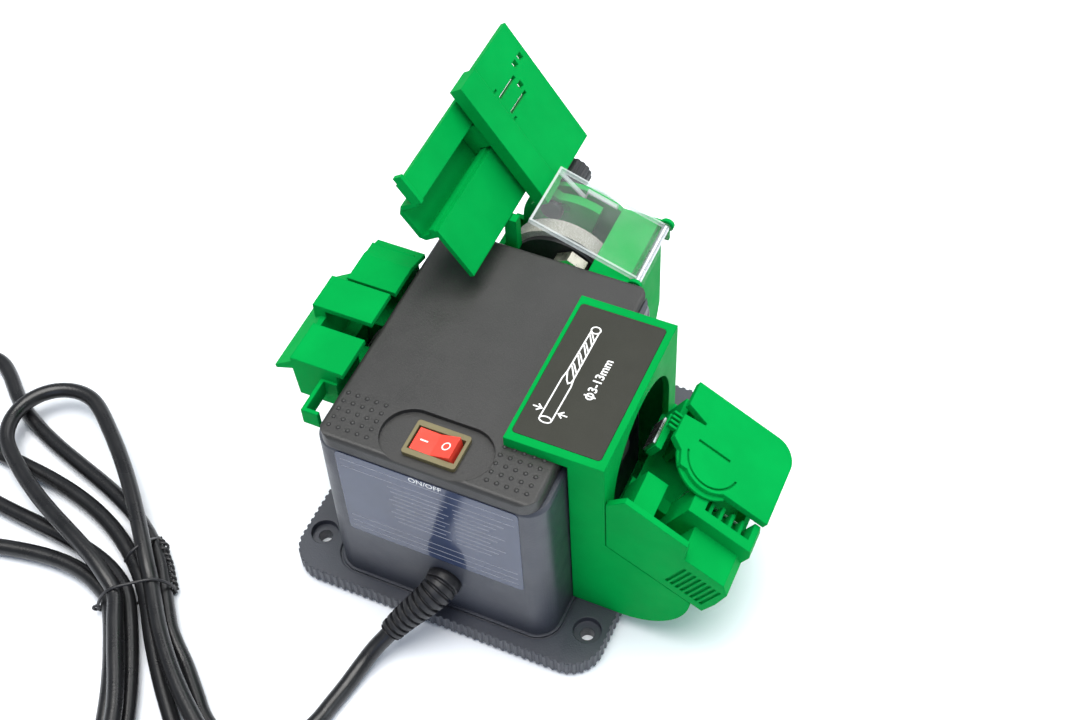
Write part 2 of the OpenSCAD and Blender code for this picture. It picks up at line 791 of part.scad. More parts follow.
module hex_nut(x, z, y, bore) {
  difference() {
    translate([x, y, z]) rotate([-90, 0, 0]) cylinder(d = nut_af/cos(30), h = nut_t, $fn = 6);
    bar(x, z, y - 1, y + nut_t + 1, bore);
  }
}

chisel_end = chisel_wheel_y + wheel_t/2 + 6.5;

module chisel_spindle() {
  color(steel) frame() spindle(0, chisel_z, chisel_end);
}

module chisel_pulley() {
  color(steel) frame() pulley(0, chisel_z, mid_pulley_d, spindle_d);
}

module chisel_wheel() {
  color(white) frame() wheel(0, chisel_z, chisel_wheel_y);
}

module chisel_flange() {
  flange_t = 2;
  y = chisel_wheel_y - wheel_t/2 + 1;
  color("#55585c") frame() {
    ring_y(0, chisel_z, y - 1, y, wheel_d*0.48, spindle_d);
    ring_y(0, chisel_z, y - flange_t - 1, y - 1, wheel_d*0.88, spindle_d);
  }
}

module chisel_nut() {
  color(steel) frame() translate([0, chisel_wheel_y + wheel_t/2, 0]) difference() {
    translate([0, 0, chisel_z]) rotate([-90, 0, 0]) cylinder(d = nut_af/cos(30), h = 5, $fn = 6);
    bar(0, chisel_z, -1, 8, spindle_d);
  }
}

module side_end(x) {
  color(steel) frame() spindle(x, side_z, belt_y + pulley_w/2 + 1);
}

module knife_spindle() {
  side_end(-side_x);
}

module knife_pulley() {
  color(steel) frame() pulley(-side_x, side_z, pulley_d, spindle_d);
}

module knife_wheel() {
  color(white) frame() wheel(-side_x, side_z, knife_wheel_y);
}

module knife_nut() {
  color(steel) frame() hex_nut(-side_x, side_z, knife_wheel_y + wheel_t/2, spindle_d);
}

module drill_spindle() {
  side_end(side_x);
}

module drill_pulley() {
  color(steel) frame() pulley(side_x, side_z, pulley_d, spindle_d);
}

module drill_wheel() {
  color(white) frame() wheel(side_x, side_z, drill_wheel_y);
}

module drill_nut() {
  color(steel) frame() hex_nut(side_x, side_z, drill_wheel_y + wheel_t/2, spindle_d);
}

// Knife guide: box on the left wall with a roof of three tabs and two slots
knife_in = -body_w/2 - 0.2;
knife_left = knife_in - knife_out;
knife_front = -29.6;
knife_back = 36.5;
knife_floor = 80;
knife_wall = 2;
roof_in = -cover_w/2 - 0.8;
tab_c = [knife_front, -12];
tab_b = [-6.3, 9];
tab_a = [12.2, knife_back];

well_x = -side_x - wheel_d/2 - 2;
well_z = side_z - wheel_d/2 - 1;

// Room for the knife wheel below the guide's floor
module wheel_well() {
  box([well_x, knife_cut[0], well_z], [knife_in + 1, knife_cut[1], knife_floor + 4]);
}

module knife_guide() {
  low = knife_z - knife_t;
  high = knife_z + knife_rise;
  side = knife_left + 7.2;
  brace_y = knife_front - 15.4;
  color(green) frame() {
    difference() {
      along_y(knife_front, knife_back - 3) polygon([
        [knife_in, knife_floor], [side + 1, knife_floor], [side, low - 4], [knife_left, low - 7], [knife_left - 0.4, low - 5.4],
        [side, low], [knife_in, low]
      ]);
      along_y(knife_front + knife_wall, knife_back - 3 - knife_wall) polygon([
        [knife_in + 1, knife_floor + knife_wall], [side + 1 + knife_wall, knife_floor + knife_wall],
        [side + knife_wall, low - 3], [side + knife_wall, low + 1], [knife_in + 1, low + 1]
      ]);
      box([knife_left - 2, tab_a[0] + 4, knife_floor - 1], [side + 0.6, knife_back, low + 1]);
      wheel_well();
    }
    box([side, tab_c[0], low], [roof_in, tab_c[1], knife_z]);
    along_x(knife_left + 8.5, roof_in) polygon([
      [tab_a[0], low], [tab_a[1] - 11, low], [tab_a[1], low - 3.4], [tab_a[1], knife_z - 3.4],
      [tab_a[1] - 11, knife_z], [tab_a[0], knife_z]
    ]);
    box([knife_left + 4.2, tab_b[0], high - knife_t], [roof_in, tab_b[1], high]);
    box([knife_left + 4.2, tab_b[0], low - 4], [side + knife_wall, tab_b[1], high - knife_t]);
    along_x(side, side + 8) polygon([
      [tab_c[1] - 1.6, low + 0.1], [tab_c[1], low + 0.1], [tab_c[1] + 5, low - 14], [tab_c[1] + 3.4, low - 14]
    ]);
    along_x(side, side + 8) polygon([
      [tab_a[0], low + 0.1], [tab_a[0] + 1.6, low + 0.1], [tab_a[0] - 1.4, low - 14], [tab_a[0] - 3, low - 14]
    ]);
    difference() {
      union() {
        box([knife_in - 2.2, knife_front - 1, knife_floor - 12], [knife_in, knife_back - 1, low - 4]);
        box([knife_in - 6.8, brace_y, low - 11.5], [knife_in, knife_front + 0.1, low - 4]);
        box([well_x - knife_wall, knife_cut[0] - knife_wall, well_z - knife_wall], [knife_in, knife_cut[1] + knife_wall, knife_floor]);
      }
      box([knife_in - 3, knife_cut[0] - 12, knife_floor + knife_wall], [knife_in + 1, knife_cut[1] + 12, low]);
      box([knife_in - 5.2, brace_y + 1.6, low - 12], [knife_in + 1, knife_front - 1, low - 3]);
      wheel_well();
    }
  }
}

// Drill port: top plate over the cover, hollow side block, rounded shoe and ramp
port_in = body_w/2 + 0.2;
port_top = top_z + port_top_t;
port_wall = 2.5;
shoe_x = port_x + 6;
shoe_z = base_top + 0.2 + shoe_r;
arch_y = 2.5;
arch_z = port_top - 4.4 - arch_r;

// Everything below the ramp's surface, lowered by a depth
module under_ramp(depth) {
  translate([port_x, ramp_z - depth/cos(ramp_tilt)]) rotate(-ramp_tilt) translate([-200, -400]) square(400);
}

module port_profile(in) {
  difference() {
    union() {
      translate([port_in - 1, base_top + 0.2 + in]) square([shoe_x - port_in + 1, port_top - base_top - 0.2 - in]);
      translate([shoe_x, shoe_z]) circle(shoe_r - in);
    }
    difference() {
      translate([port_x - in, 0]) square([200, 200]);
      under_ramp(in);
    }
    translate([port_in - 101, 0]) square([101, 200]);
  }
}

module drill_port() {
  panel_t = 0.8;
  depth = port_front + port_back;
  color(green) frame() difference() {
    union() {
      along_y(-port_front, port_back) port_profile(0);
      box([port_x - port_top_w, -port_front, top_z], [port_x, port_back, port_top]);
    }
    difference() {
      along_y(-port_front + port_wall, port_back - port_wall) port_profile(port_wall);
      box([0, -port_front, port_top - port_wall - 0.5], [port_x + 1, port_back, port_top + 1]);
    }
    along_x(port_x - port_wall - 1, port_x + 1) {
      translate([arch_y, arch_z]) circle(arch_r);
      translate([arch_y - arch_r, ramp_z + 1]) square([2*arch_r, arch_z - ramp_z - 1]);
    }
    translate([0, 0, port_top - panel_t]) linear_extrude(2) translate([port_x - port_top_w/2 - 0.6, (port_back - port_front)/2])
      rrect(port_top_w - 4.4 + 2*seat, depth - 7 + 2*seat, 1.5);
  }
}

module drill_panel() {
  depth = port_front + port_back;
  color(dark) frame() translate([port_x - port_top_w/2 - 0.6, (port_back - port_front)/2, port_top - 0.8])
    linear_extrude(0.9) rrect(port_top_w - 4.4, depth - 7, 1.5);
}

// Drill holder, drawn in the ramp's own frame: x down the slope, z square to it
tray_u = 43;
tray_front = -port_front;
tray_back = 28;
tray_floor = 3;
block_front = -19;
block_back = -7.5;
block_top = 30;
grip_top = 23.5;
jaw_front = 9;
clamp_t = 3.2;
clamp_w = 41;
clamp_front = -7.4;
disc_at = [13, 2];
disc_r = 12.4;
lift = 0.4;

module on_ramp() {
  frame() translate([port_x, 0, ramp_z]) rotate([0, ramp_tilt, 0]) children();
}

module clear_of_port() {
  difference() {
    on_ramp() children();
    frame() box([-100, -100, 0], [port_x + gap, 100, 200]);
    frame() box([port_x + 50, -100, 0], [port_x + 100, 100, 200]);
  }
}

module drill_tray() {
  ribs = 8;
  color(green) clear_of_port() difference() {
    union() {
      box([-20, tray_front, lift], [tray_u, tray_back - 1, tray_floor]);
      along_y(tray_front, tray_front + 2.5) polygon([
        [-20, lift], [-20, 19], [-13.2, 23], [-9.7, block_top + 2], [18, block_top + 1.4], [21.5, grip_top], [21.5, lift]
      ]);
      along_y(tray_front, block_front + 1) polygon([
        [20, lift], [tray_u + 0.6, lift], [tray_u + 1, grip_top - 14], [tray_u, grip_top - 4], [tray_u - 4, grip_top], [20, grip_top]
      ]);
      box([13, block_front, lift], [tray_u - 0.6, block_back, block_top]);
      box([-5, tray_front + 1, lift], [4, block_front + 7, 25]);
      box([-20, block_front + 6, lift], [13.5, block_back, 9]);
      box([1, tray_back - 3.5, lift], [tray_u - 11, tray_back - 1, block_top]);
      for (u = [-3, 4, 30]) box([u, jaw_front + 1.5, lift], [u + 2.5, tray_back - 2, block_top - (u < 0 ? 8 : 0)]);
      box([-7.6, jaw_front + 1.5, 12], [-1, jaw_front + 3.5, 27.5]);
      box([-7.6, -3, 20], [-5, jaw_front + 3.5, 27.5]);
      box([tray_u - 2.6, block_back - 1, lift], [tray_u - 0.6, jaw_front + 4, 12]);
    }
    box([18.6, block_front + 4, block_top - 9], [38, block_back + 1, block_top + 1]);
    for (i = [0:ribs - 1])
      box([tray_u - 18.5 + i*2.2, tray_front - 1, 4], [tray_u - 17.3 + i*2.2, tray_front + 0.9, grip_top - 5]);
  }
  color(green) on_ramp() for (i = [0:3])
    box([21 + 4.4*i, block_front + 4 - 0.1, block_top - 9.1], [22.4 + 4.4*i, block_back, block_top - 3]);
}

module drill_vee() {
  color(steel) on_ramp() translate([0, block_back, 16]) along_x(13.8, 36)
    polygon([[0.1, -6], [1.1, -6], [3.4, 0], [1.1, 6], [0.1, 6], [2.2, 0]]);
}

module drill_stop() {
  color(steel) on_ramp() box([-8.7, -1.5, 18.5], [-7.65, jaw_front + 1.4, 26.4]);
}

module drill_clamp() {
  z0 = block_top + lift;
  corner = 9;
  back = tray_back - 0.7;
  color(green) on_ramp() difference() {
    union() {
      translate([0, 0, z0]) linear_extrude(clamp_t) clamp_outline(corner, back);
      translate([disc_at[0], disc_at[1], z0]) cylinder(r = disc_r + 1.8, h = 1.2);
      box([9, jaw_front, 6], [28, jaw_front + 5, z0 + 0.1]);
      for (i = [0:3]) box([-8, 4.4 + 2*i, z0], [-3, 5.4 + 2*i, z0 + 2]);
    }
    box([4.5, 5.2, z0 + clamp_t - 1], [18.5, 6.3, z0 + clamp_t + 2]);
    translate([disc_at[0], disc_at[1], z0 + clamp_t - 0.9]) difference() {
      cylinder(r = disc_r - 1.2, h = 2);
      translate([0, 0, -1]) cylinder(r = disc_r - 2, h = 4);
      box([-20, -2, -1], [20, 20, 4]);
    }
    box([clamp_w - 18, clamp_front - 10, z0 - 1], [clamp_w + 1, clamp_front, z0 + clamp_t + 1]);
  }
}

// Clamp plate with its round boss, one rounded corner and a notch at its edge
module clamp_outline(corner, back) {
  difference() {
    union() {
      polygon([[-4.5, 1.2], [0, -2], [2, clamp_front], [clamp_w, clamp_front], [clamp_w, back], [-4.5, back]]);
      translate(disc_at) circle(disc_r);
    }
    translate([clamp_w - corner, back - corner]) difference() {
      square(corner + 1);
      circle(corner);
    }
    polygon([[-5, 16.6], [4.5, 13.6], [4.5, 12.6], [-5, 11.6]]);
  }
}

// Rear housing behind the housing's back wall, open above the wheel
rear_in = back_y + 0.2;
rear_back = rear_in + rear_d;
rear_right = body_w/2 - 13;
rear_left = -30;
rear_wall = 2.4;
rear_top = chisel_z + 19.5;
mouth_right = sqrt(pow(wheel_d/2 + 1.5, 2) - pow(rear_top - rear_wall - chisel_z, 2));
rear_nut_x = 7;
rear_nut_z = 86;
rear_nut_t = 5;
stud_d = 6;
pivot_d = 6;
lock_r = 21;
lock_angle = 115;
lock_x = lock_r*cos(lock_angle);
lock_z = chisel_z + lock_r*sin(lock_angle);
ear_y = rear_back - rear_wall - 7;
ear_t = 4;
hinge_x = rear_right + 2.6;
hinge_z = rear_top - 1.2;
hinge_d = 3;
lug_t = 1.6;
barrel_d = 5.6;

module rear_profile(in) {
  foot = base_d/2 + body_fwd - 3;
  polygon([
    [rear_in + in, base_top + 0.2 + in], [foot - in, base_top + 0.2 + in],
    [rear_back - in, base_top + 36], [rear_back - in, rear_top - in], [rear_in + in, rear_top - in]
  ]);
}

module rear_housing() {
  arc_r = lock_r + 5;
  color(green) frame() difference() {
    union() {
      difference() {
        along_x(rear_left, rear_right) rear_profile(0);
        along_x(rear_left + rear_wall, rear_right - rear_wall) rear_profile(rear_wall);
        box([rear_left - 1, rear_in + rear_wall, chisel_z - 2], [mouth_right, rear_back + 1, rear_top + 1]);
        box([rear_left - 1, rear_in - 1, chisel_z + 16], [mouth_right, rear_back + 1, rear_top + 1]);
      }
      along_y(rear_back - rear_wall, rear_back) intersection() {
        translate([0, chisel_z]) circle(arc_r);
        translate([-100, chisel_z - 6]) square([100 + mouth_right, 100]);
      }
      bar(0, chisel_z, ear_y - 0.5, rear_back - 0.5, pivot_d);
      for (y = [rear_in, rear_back - lug_t]) {
        box([rear_right - 5, y, hinge_z - 8], [hinge_x + 1, y + lug_t, hinge_z]);
        bar(hinge_x, hinge_z, y, y + lug_t, barrel_d);
      }
    }
    bar(0, chisel_z, rear_in - 1, rear_in + rear_wall + 1, spindle_d + 6);
    bar(rear_nut_x, rear_nut_z, rear_in - 1, rear_in + rear_wall + 1, stud_d + 2*seat);
    bar(lock_x, lock_z, rear_back - rear_wall - 1, rear_back + 1, 4 + 2*run);
    for (y = [rear_in, rear_back - lug_t]) bar(hinge_x, hinge_z, y - 1, y + lug_t + 1, hinge_d);
    bar(hinge_x, hinge_z, rear_in + lug_t, rear_back - lug_t, barrel_d + 2*gap);
  }
}

module rear_nut() {
  y = rear_in + rear_wall;
  color("#d9d2bd") frame() {
    bar(rear_nut_x, rear_nut_z, in_d/2 - 3, y + rear_nut_t + 0.4, stud_d);
    bar(rear_nut_x, rear_nut_z, in_d/2 - 3, in_d/2 - 0.1, stud_d + 3);
    translate([rear_nut_x, y + 0.1, rear_nut_z]) rotate([-90, 30, 0])
      cylinder(d = nut_af/cos(30), h = rear_nut_t, $fn = 6);
  }
}

// Spark guard, drawn from its hinge axis with the panel along -x
module spark_guard() {
  barrel = barrel_d;
  y0 = rear_in + lug_t + gap;
  y1 = y0 + guard_d;
  color("#dfeaf2", 0.4) frame() translate([hinge_x, 0, hinge_z]) rotate([0, guard_tilt, 0]) difference() {
    union() {
      box([-guard_l, y0, barrel/2 - panel_t], [0, y1, barrel/2]);
      bar(0, 0, y0, y1, barrel);
      along_y(y1 - 1.8, y1) polygon([
        [-guard_l, barrel/2 - 0.5], [-20, barrel/2 - 0.5], [-20, barrel/2 - 4], [-33, barrel/2 - 4],
        [-33, barrel/2 - 9], [-guard_l, barrel/2 - panel_t]
      ]);
    }
    bar(0, 0, y0 - 1, y1 + 1, hinge_d + 2*run);
  }
}

module guard_pin() {
  color(steel) frame() bar(hinge_x, hinge_z, rear_in, rear_back, hinge_d);
}

// Chisel rail and carriage, drawn in the rail's frame: x down the slope, z square to it
rail_x = -17.3;
rail_z = chisel_z + 30.9;
rail_y = back_y - 27.3;
rail_w = 46.6;
lower_w = 22;
trough_l = 35.5;
trough_r = 24.5;
trough_t = 8.6;
rail_t = 2;
strip_w = 12;
strip_t = 6;
plate_top = 8.7;
panel_t = 2;
panel_low = barrel_d/2 - panel_t;
guard_l = ((hinge_x + panel_low*sin(guard_tilt) - rail_x)*sin(rail_tilt)
  + (hinge_z + panel_low*cos(guard_tilt) - rail_z)*cos(rail_tilt) - plate_top - guard_gap)/sin(rail_tilt - guard_tilt);
carriage_y = back_y + 16.7;

module on_rail() {
  frame() translate([rail_x, 0, rail_z]) rotate([0, rail_tilt, 0]) children();
}

// Point of the rail's own frame, seen along Y
function rail_point(x, z) =
  [rail_x + x*cos(rail_tilt) + z*sin(rail_tilt), rail_z - x*sin(rail_tilt) + z*cos(rail_tilt)];

module chisel_rail() {
  undercut = 2;
  deep = trough_t + rail_t;
  ear_slot = 4 + 2*gap;
  color(green) {
    on_rail() {
      along_y(rail_y, rail_y + rail_l) polygon([
        [-rail_w, 0], [-trough_l, 0], [-trough_l, -trough_t], [-trough_r + undercut, -trough_t],
        [-trough_r + undercut, -4], [-trough_r, -4], [-trough_r, -1.4], [-trough_r + 1.2, -1.4],
        [-trough_r + 1.2, 0], [0, 0], [0, -rail_t], [-trough_r + undercut + rail_t, -rail_t],
        [-trough_r + undercut + rail_t, -deep + 2], [-trough_r + undercut + rail_t - 2, -deep],
        [-trough_l - rail_t + 3, -deep], [-trough_l - rail_t, -deep + 3], [-trough_l - rail_t, -rail_t], [-rail_w, -rail_t]
      ]);
      box([-rail_w - 3, rail_y, -rail_t/2], [-trough_l - 1, rail_y + 1.8, 3]);
      along_y(back_y + 4, back_y + 7.4) polygon([[-16, -1], [4, -1], [3, -7], [-6, -11]]);
    }
    frame() box([rail_x - 2.1, back_y + 3.6, rail_z - 17], [rail_x + 2.8, back_y + 7.6, rail_z - 0.6]);
    frame() difference() {
      along_y(ear_y, ear_y + ear_t) union() {
        translate([0, chisel_z]) circle(8);
        intersection() {
          translate([0, chisel_z]) circle(lock_r + 4);
          polygon([[4, chisel_z], [16, chisel_z + 40], [-40, chisel_z + 40], [-4, chisel_z]]);
        }
        polygon([[-2, chisel_z + 22], rail_point(-1, -1), rail_point(-15, -1), [-15, chisel_z + 13], [-5, chisel_z + 3]]);
      }
      bar(0, chisel_z, ear_y - 1, ear_y + ear_t + 1, pivot_d + 2*run);
      arc_slot(ear_slot);
    }
  }
}

// Curved slot about the wheel's axis that lets the rail tilt away from the lock knob
module arc_slot(w) {
  a = lock_angle + 1.5;
  b = lock_angle - tilt_range - 1.5;
  way = function (q) [cos(q), sin(q)];
  along_y(ear_y - 1, ear_y + ear_t + 1) translate([0, chisel_z]) polygon(concat(
    [for (i = [0:6]) (lock_r + w/2)*way(a + (b - a)*i/6)],
    [for (i = [1:5]) lock_r*way(b) + w/2*way(b - 30*i)],
    [for (i = [0:6]) (lock_r - w/2)*way(b + (a - b)*i/6)],
    [for (i = [1:5]) lock_r*way(a) + w/2*way(a + 180 - 30*i)]
  ));
}

module chisel_carriage() {
  y0 = carriage_y;
  y1 = carriage_y + carriage_l;
  top = plate_top;
  x1 = plate_l - 52;
  x0 = x1 - plate_l;
  step = 0.8;
  color(green) on_rail() difference() {
    union() {
      box([x0, y0, top - strip_t], [x1, y0 + strip_w, top]);
      box([x0, y0, top - step - 2.4], [x1, y1, top - step]);
      box([-trough_l + gap, y0 + 1, -trough_t + gap], [-trough_r - gap, y0 + strip_w, top - step]);
      box([-trough_l + gap, y0 + 1, -trough_t + gap], [-trough_r + 2 - gap, y0 + strip_w, -4 - gap]);
    }
    for (x = [-36.6, -29.1]) box([x, y0 + 14, top - 6], [x + 1.4, y0 + 27, top + 1]);
    for (p = [[-40, 34.4], [-39.9, 29.9], [-33.1, 25.6]]) translate([p[0], y0 + p[1], top - 5]) cube([2.6, 2.6, 8]);
    for (x = [-39.7, -26.3]) translate([x, y0 + 13, top - step - 0.6]) cube([1, 2, 2]);
  }
}

module lock_knob() {
  lobes = 16;
  head_d = 9;
  y0 = rear_back + gap;
  color(dark) frame() {
    difference() {
      bar(lock_x, lock_z, y0, y0 + 12, knob_d);
      for (i = [0:lobes - 1]) translate([lock_x, y0 - 1, lock_z]) rotate([0, i*360/lobes, 0])
        translate([knob_d/2 + 0.5, 0, 0]) rotate([-90, 0, 0]) cylinder(d = 1.8, h = 14);
    }
    bar(lock_x, lock_z, ear_y - gap - 2, y0 + 1, 4);
    bar(lock_x, lock_z, ear_y - gap - 2, ear_y - gap, head_d);
  }
}

base_plate();
rubber_feet();
housing_screws();
housing();
top_cover();
switch_frame();
switch_rocker();
switch_terminals();
strain_relief();
relief_bush();
cord_clamp();
power_cord();
cord_hank();
wire_tie();
plug_body();
plug_pins();
motor_can();
motor_end_caps();
stator_core();
motor_cradles();
motor_bearings();
brush_holders();
motor_shaft();
rotor_core();
commutator();
cooling_fan();
motor_pulley();
drive_belt();
front_bearing_plate();
rear_bearing_plate();
spindle_bearings();
chisel_spindle();
chisel_pulley();
chisel_wheel();
chisel_flange();
chisel_nut();
knife_spindle();
knife_pulley();
knife_wheel();
knife_nut();
drill_spindle();
drill_pulley();
drill_wheel();
drill_nut();
knife_guide();
drill_port();
drill_panel();
drill_tray();
drill_vee();
drill_stop();
drill_clamp();
rear_housing();
rear_nut();
spark_guard();
guard_pin();
chisel_rail();
chisel_carriage();
lock_knob();
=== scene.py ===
import math
import bmesh
import bpy
from mathutils import Matrix, Vector


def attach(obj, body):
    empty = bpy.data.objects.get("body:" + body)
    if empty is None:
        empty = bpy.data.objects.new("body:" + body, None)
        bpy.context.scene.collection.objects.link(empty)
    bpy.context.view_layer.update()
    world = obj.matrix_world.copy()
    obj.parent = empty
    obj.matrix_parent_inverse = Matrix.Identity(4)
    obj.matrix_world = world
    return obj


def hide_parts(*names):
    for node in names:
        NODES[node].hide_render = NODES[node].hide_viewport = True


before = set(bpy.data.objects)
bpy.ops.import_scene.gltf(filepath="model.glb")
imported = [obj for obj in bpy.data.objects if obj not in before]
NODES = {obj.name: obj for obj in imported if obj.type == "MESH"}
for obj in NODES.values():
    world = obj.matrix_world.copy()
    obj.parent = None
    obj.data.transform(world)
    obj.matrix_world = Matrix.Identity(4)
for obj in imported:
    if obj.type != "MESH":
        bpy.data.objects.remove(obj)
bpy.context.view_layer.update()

MM = 0.001

# Sizes and places of the CAD model, in mm from the housing's centre

BODY_FWD = 8.0
FRONT_Y = -54.3
FOOT_Z = 9.0
WALL_H = 80.5
DRAFT = 0.8
COVER_TOP = 96.8
ROCKER = (0, -41.5, 93.8)
ROCKER_TILT = 8
PANEL_TOP = 102.1
GUARD_HINGE = (35.6, 0, 93.3)
GUARD_TILT = 19
PRINT_SINK = 0.05

# Camera solved from the photograph, in pixels and mm

PHOTO_W = 1080.0
FOCAL_PX = 1659.87
SENSOR_W = 36.0


def at(x, y, z):
    """Point given from the housing's centre in mm, as metres in the part's frame."""
    return Vector((x * MM, (y - BODY_FWD) * MM, z * MM))


# Camera and stage

def add_camera():
    place = Vector((186.38, -332.31, 570.84)) * MM
    forward = Vector((-0.2793, 0.54956, -0.78739)).normalized()
    up = Vector((-0.29963, 0.72919, 0.61523)).normalized()
    right = forward.cross(up).normalized()
    up = right.cross(forward).normalized()
    data = bpy.data.cameras.new("camera")
    data.sensor_fit = "HORIZONTAL"
    data.sensor_width = SENSOR_W
    data.lens = FOCAL_PX / PHOTO_W * SENSOR_W
    data.clip_start = 0.01
    data.clip_end = 20.0
    camera = bpy.data.objects.new("camera", data)
    rotation = Matrix((right, up, -forward)).transposed()
    camera.matrix_world = Matrix.Translation(place) @ rotation.to_4x4()
    bpy.context.scene.collection.objects.link(camera)
    bpy.context.scene.camera = camera


def add_lamp(name, place, target, size, watts, colour=(1.0, 1.0, 1.0)):
    data = bpy.data.lights.new(name, "AREA")
    data.shape = "RECTANGLE"
    data.size = size[0]
    data.size_y = size[1]
    data.energy = watts
    data.color = colour
    lamp = bpy.data.objects.new(name, data)
    way = (Vector(target) - Vector(place)).normalized()
    lamp.rotation_euler = way.to_track_quat("-Z", "Y").to_euler()
    lamp.location = place
    bpy.context.scene.collection.objects.link(lamp)


def add_sky():
    """Dim soft light from above that turns white at the horizon."""
    world = bpy.data.worlds.new("world")
    bpy.context.scene.world = world
    world.use_nodes = True
    tree = world.node_tree
    coord = tree.nodes.new("ShaderNodeTexCoord")
    split = tree.nodes.new("ShaderNodeSeparateXYZ")
    fade = tree.nodes.new("ShaderNodeValToRGB")
    fade.color_ramp.elements[0].position = 0.04
    fade.color_ramp.elements[1].position = 0.3
    fade.color_ramp.elements[0].color = (0.96, 0.98, 1.0, 1)
    fade.color_ramp.elements[1].color = (0.3, 0.335, 0.375, 1)
    tree.links.new(coord.outputs["Generated"], split.inputs["Vector"])
    tree.links.new(split.outputs["Z"], fade.inputs["Fac"])
    tree.links.new(fade.outputs["Color"], tree.nodes["Background"].inputs["Color"])
    tree.nodes["Background"].inputs["Strength"].default_value = 1.0


def add_sun(strength, spread, way, colour):
    """Key light, the same all over the floor."""
    data = bpy.data.lights.new("key", "SUN")
    data.energy = strength
    data.angle = math.radians(spread)
    data.color = colour
    lamp = bpy.data.objects.new("key", data)
    lamp.rotation_euler = Vector(way).to_track_quat("-Z", "Y").to_euler()
    bpy.context.scene.collection.objects.link(lamp)


def add_stage():
    mesh = bpy.data.meshes.new("floor")
    half = 4.0
    mesh.from_pydata([(-half, -half, 0), (half, -half, 0), (half, half, 0), (-half, half, 0)], [], [(0, 1, 2, 3)])
    floor = bpy.data.objects.new("floor", mesh)
    bpy.context.scene.collection.objects.link(floor)
    material = bpy.data.materials.new("floor")
    material.use_nodes = True
    tree = material.node_tree
    bsdf = tree.nodes["Principled BSDF"]
    bsdf.inputs["Base Color"].default_value = (0.9, 0.93, 0.98, 1)
    bsdf.inputs["Roughness"].default_value = 0.6
    floor.data.materials.append(material)
    add_sky()
    add_sun(3.8, 50, (0.05, 0.0, -1.6), (1.0, 0.98, 0.95))
    add_lamp("fill", (0.3, -1.4, 0.8), (0, 0, 0.05), (0.9, 0.9), 2, (0.4, 0.55, 1.0))
    add_lamp("side", (1.4, 0.5, 0.9), (0, 0, 0.05), (1.0, 0.8), 7, (0.85, 0.95, 1.0))
    add_lamp("back", (0.2, 1.2, 1.3), (0, 0, 0.05), (1.4, 0.6), 7)


bpy.context.scene.view_settings.view_transform = "Standard"
add_camera()
add_stage()


# Materials

def new_material(name):
    material = bpy.data.materials.new(name)
    material.use_nodes = True
    return material, material.node_tree, material.node_tree.nodes["Principled BSDF"]


def link(tree, a, b):
    tree.links.new(a, b)


def noise(tree, scale, detail=4.0, rough=0.55):
    coord = tree.nodes.new("ShaderNodeTexCoord")
    node = tree.nodes.new("ShaderNodeTexNoise")
    node.inputs["Scale"].default_value = scale
    node.inputs["Detail"].default_value = detail
    node.inputs["Roughness"].default_value = rough
    link(tree, coord.outputs["Object"], node.inputs["Vector"])
    return node


def ramp(tree, source, low, high, a=(0, 0, 0, 1), b=(1, 1, 1, 1)):
    node = tree.nodes.new("ShaderNodeValToRGB")
    node.color_ramp.elements[0].position = low
    node.color_ramp.elements[1].position = high
    node.color_ramp.elements[0].color = a
    node.color_ramp.elements[1].color = b
    link(tree, source, node.inputs["Fac"])
    return node


def plastic(name, colour, rough, grain=0.0, grain_scale=900.0, spread=0.1, edge=0.0005, spec=0.5, coat=0.0):
    """Moulded plastic: slight colour drift, grain in bump, softened edges."""
    material, tree, bsdf = new_material(name)
    drift = noise(tree, 45.0, 3.0)
    dark = tuple(c * (1 - spread) for c in colour) + (1,)
    light = tuple(min(1.0, c * (1 + spread)) for c in colour) + (1,)
    tone = ramp(tree, drift.outputs["Fac"], 0.35, 0.65, dark, light)
    link(tree, tone.outputs["Color"], bsdf.inputs["Base Color"])
    smear = noise(tree, 120.0, 5.0)
    gloss = ramp(tree, smear.outputs["Fac"], 0.3, 0.7, (rough - 0.06,) * 3 + (1,), (rough + 0.06,) * 3 + (1,))
    link(tree, gloss.outputs["Color"], bsdf.inputs["Roughness"])
    bsdf.inputs["Specular IOR Level"].default_value = spec
    bsdf.inputs["Coat Weight"].default_value = coat
    bevel = tree.nodes.new("ShaderNodeBevel")
    bevel.samples = 4
    bevel.inputs["Radius"].default_value = edge
    if grain > 0:
        fine = noise(tree, grain_scale, 2.0)
        bump = tree.nodes.new("ShaderNodeBump")
        bump.inputs["Strength"].default_value = grain
        bump.inputs["Distance"].default_value = 0.0004
        link(tree, fine.outputs["Fac"], bump.inputs["Height"])
        link(tree, bevel.outputs["Normal"], bump.inputs["Normal"])
        link(tree, bump.outputs["Normal"], bsdf.inputs["Normal"])
    else:
        link(tree, bevel.outputs["Normal"], bsdf.inputs["Normal"])
    return material


def printed(name, colour):
    """Matt ink, slightly uneven."""
    material, tree, bsdf = new_material(name)
    drift = noise(tree, 900.0, 3.0)
    tone = ramp(tree, drift.outputs["Fac"], 0.3, 0.7, tuple(c * 0.9 for c in colour) + (1,), tuple(colour) + (1,))
    link(tree, tone.outputs["Color"], bsdf.inputs["Base Color"])
    bsdf.inputs["Roughness"].default_value = 0.55
    return material


